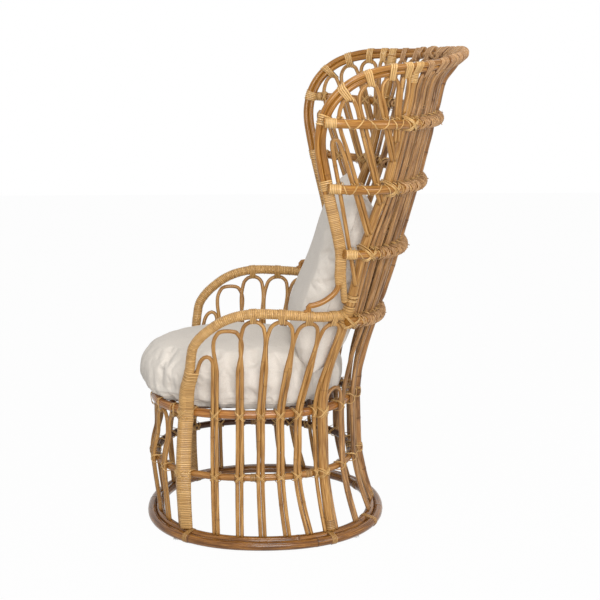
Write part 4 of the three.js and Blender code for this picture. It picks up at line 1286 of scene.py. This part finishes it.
cloth = linen("linen_undyed")
seat_linen = stuffed("seat_cushion", seat_pucker, seat_settle)
back_linen = stuffed("back_cushion", back_pucker, back_settle)
seam_round(seat_linen, "seat_cushion_seam", (0, 0, seat_seam_height), (0, 0, 1))
seam_round(back_linen, "back_cushion_seam", back_middle, back_facing)

# Studio. A plain white floor and surround, large soft lamps, and the camera at the left side of
# the chair, a little above it.
floor_mesh = bmesh.new()
bmesh.ops.create_grid(floor_mesh, x_segments=1, y_segments=1, size=6)
paper, paper_nodes, paper_links, sheet = new_finish("white_paper")
floor = made_piece("studio_floor", floor_mesh, paper)
sheet.inputs["Base Color"].default_value = (0.6, 0.6, 0.6, 1)
sheet.inputs["Roughness"].default_value = 0.9
glow = added(paper_nodes, "Emission", {"Color": (1, 1, 1, 1), "Strength": 1})
sight = added(paper_nodes, "LightPath")


def any_ray(nodes, links, path):
    seen = path.outputs["Is Camera Ray"]
    for kind in ("Is Glossy Ray", "Is Transmission Ray"):
        either = added(nodes, "Math")
        either.operation = "MAXIMUM"
        links.new(seen, either.inputs[0])
        links.new(path.outputs[kind], either.inputs[1])
        seen = either.outputs["Value"]
    return seen


whiteness = added(paper_nodes, "MapRange", {"To Max": 0.97})
paper_links.new(any_ray(paper_nodes, paper_links, sight), whiteness.inputs["Value"])
blend = added(paper_nodes, "MixShader")
paper_links.new(whiteness.outputs["Result"], blend.inputs["Fac"])
paper_links.new(sheet.outputs["BSDF"], blend.inputs[1])
paper_links.new(glow.outputs["Emission"], blend.inputs[2])
paper_links.new(blend.outputs["Shader"], paper_nodes["Material Output"].inputs["Surface"])

world = bpy.data.worlds.new("studio")
bpy.context.scene.world = world
world.use_nodes = True
world_nodes, world_links = world.node_tree.nodes, world.node_tree.links
backing = world_nodes["Background"]
white = added(world_nodes, "MapRange", {"To Min": 0.48, "To Max": 1})
path = added(world_nodes, "LightPath")
world_links.new(any_ray(world_nodes, world_links, path), white.inputs["Value"])
world_links.new(white.outputs["Result"], backing.inputs["Strength"])
backing.inputs["Color"].default_value = (1, 1, 1, 1)


def soft_lamp(name, place, target, size, power):
    lamp = bpy.data.lights.new(name, "AREA")
    lamp.size = size
    lamp.energy = power
    holder = bpy.data.objects.new(name, lamp)
    holder.location = place
    holder.rotation_euler = (Vector(target) - Vector(place)).to_track_quat("-Z", "Y").to_euler()
    bpy.context.scene.collection.objects.link(holder)


soft_lamp("lamp_above", (1.2, 0.0, 3.2), (0, 0, 0.6), size=1.0, power=26)
soft_lamp("lamp_side", (3.7, 0.2, 1.6), (0, 0, 0.6), size=1.8, power=92)
soft_lamp("lamp_rear", (2.0, 3.0, 1.9), (0, 0, 0.7), size=1.4, power=28)

azimuth, pitch = math.radians(88.05), math.radians(-12.683)
lens = bpy.data.cameras.new("camera")
lens.lens = 88.97
lens.sensor_width = 36
camera = bpy.data.objects.new("camera", lens)
camera.location = (3.9999, -0.1348, 1.5126)
level = math.cos(pitch)
looking = Vector((-math.sin(azimuth) * level, math.cos(azimuth) * level, math.sin(pitch)))
camera.rotation_euler = looking.to_track_quat("-Z", "Y").to_euler()
bpy.context.scene.collection.objects.link(camera)
bpy.context.scene.camera = camera
bpy.context.scene.view_settings.view_transform = "Standard"
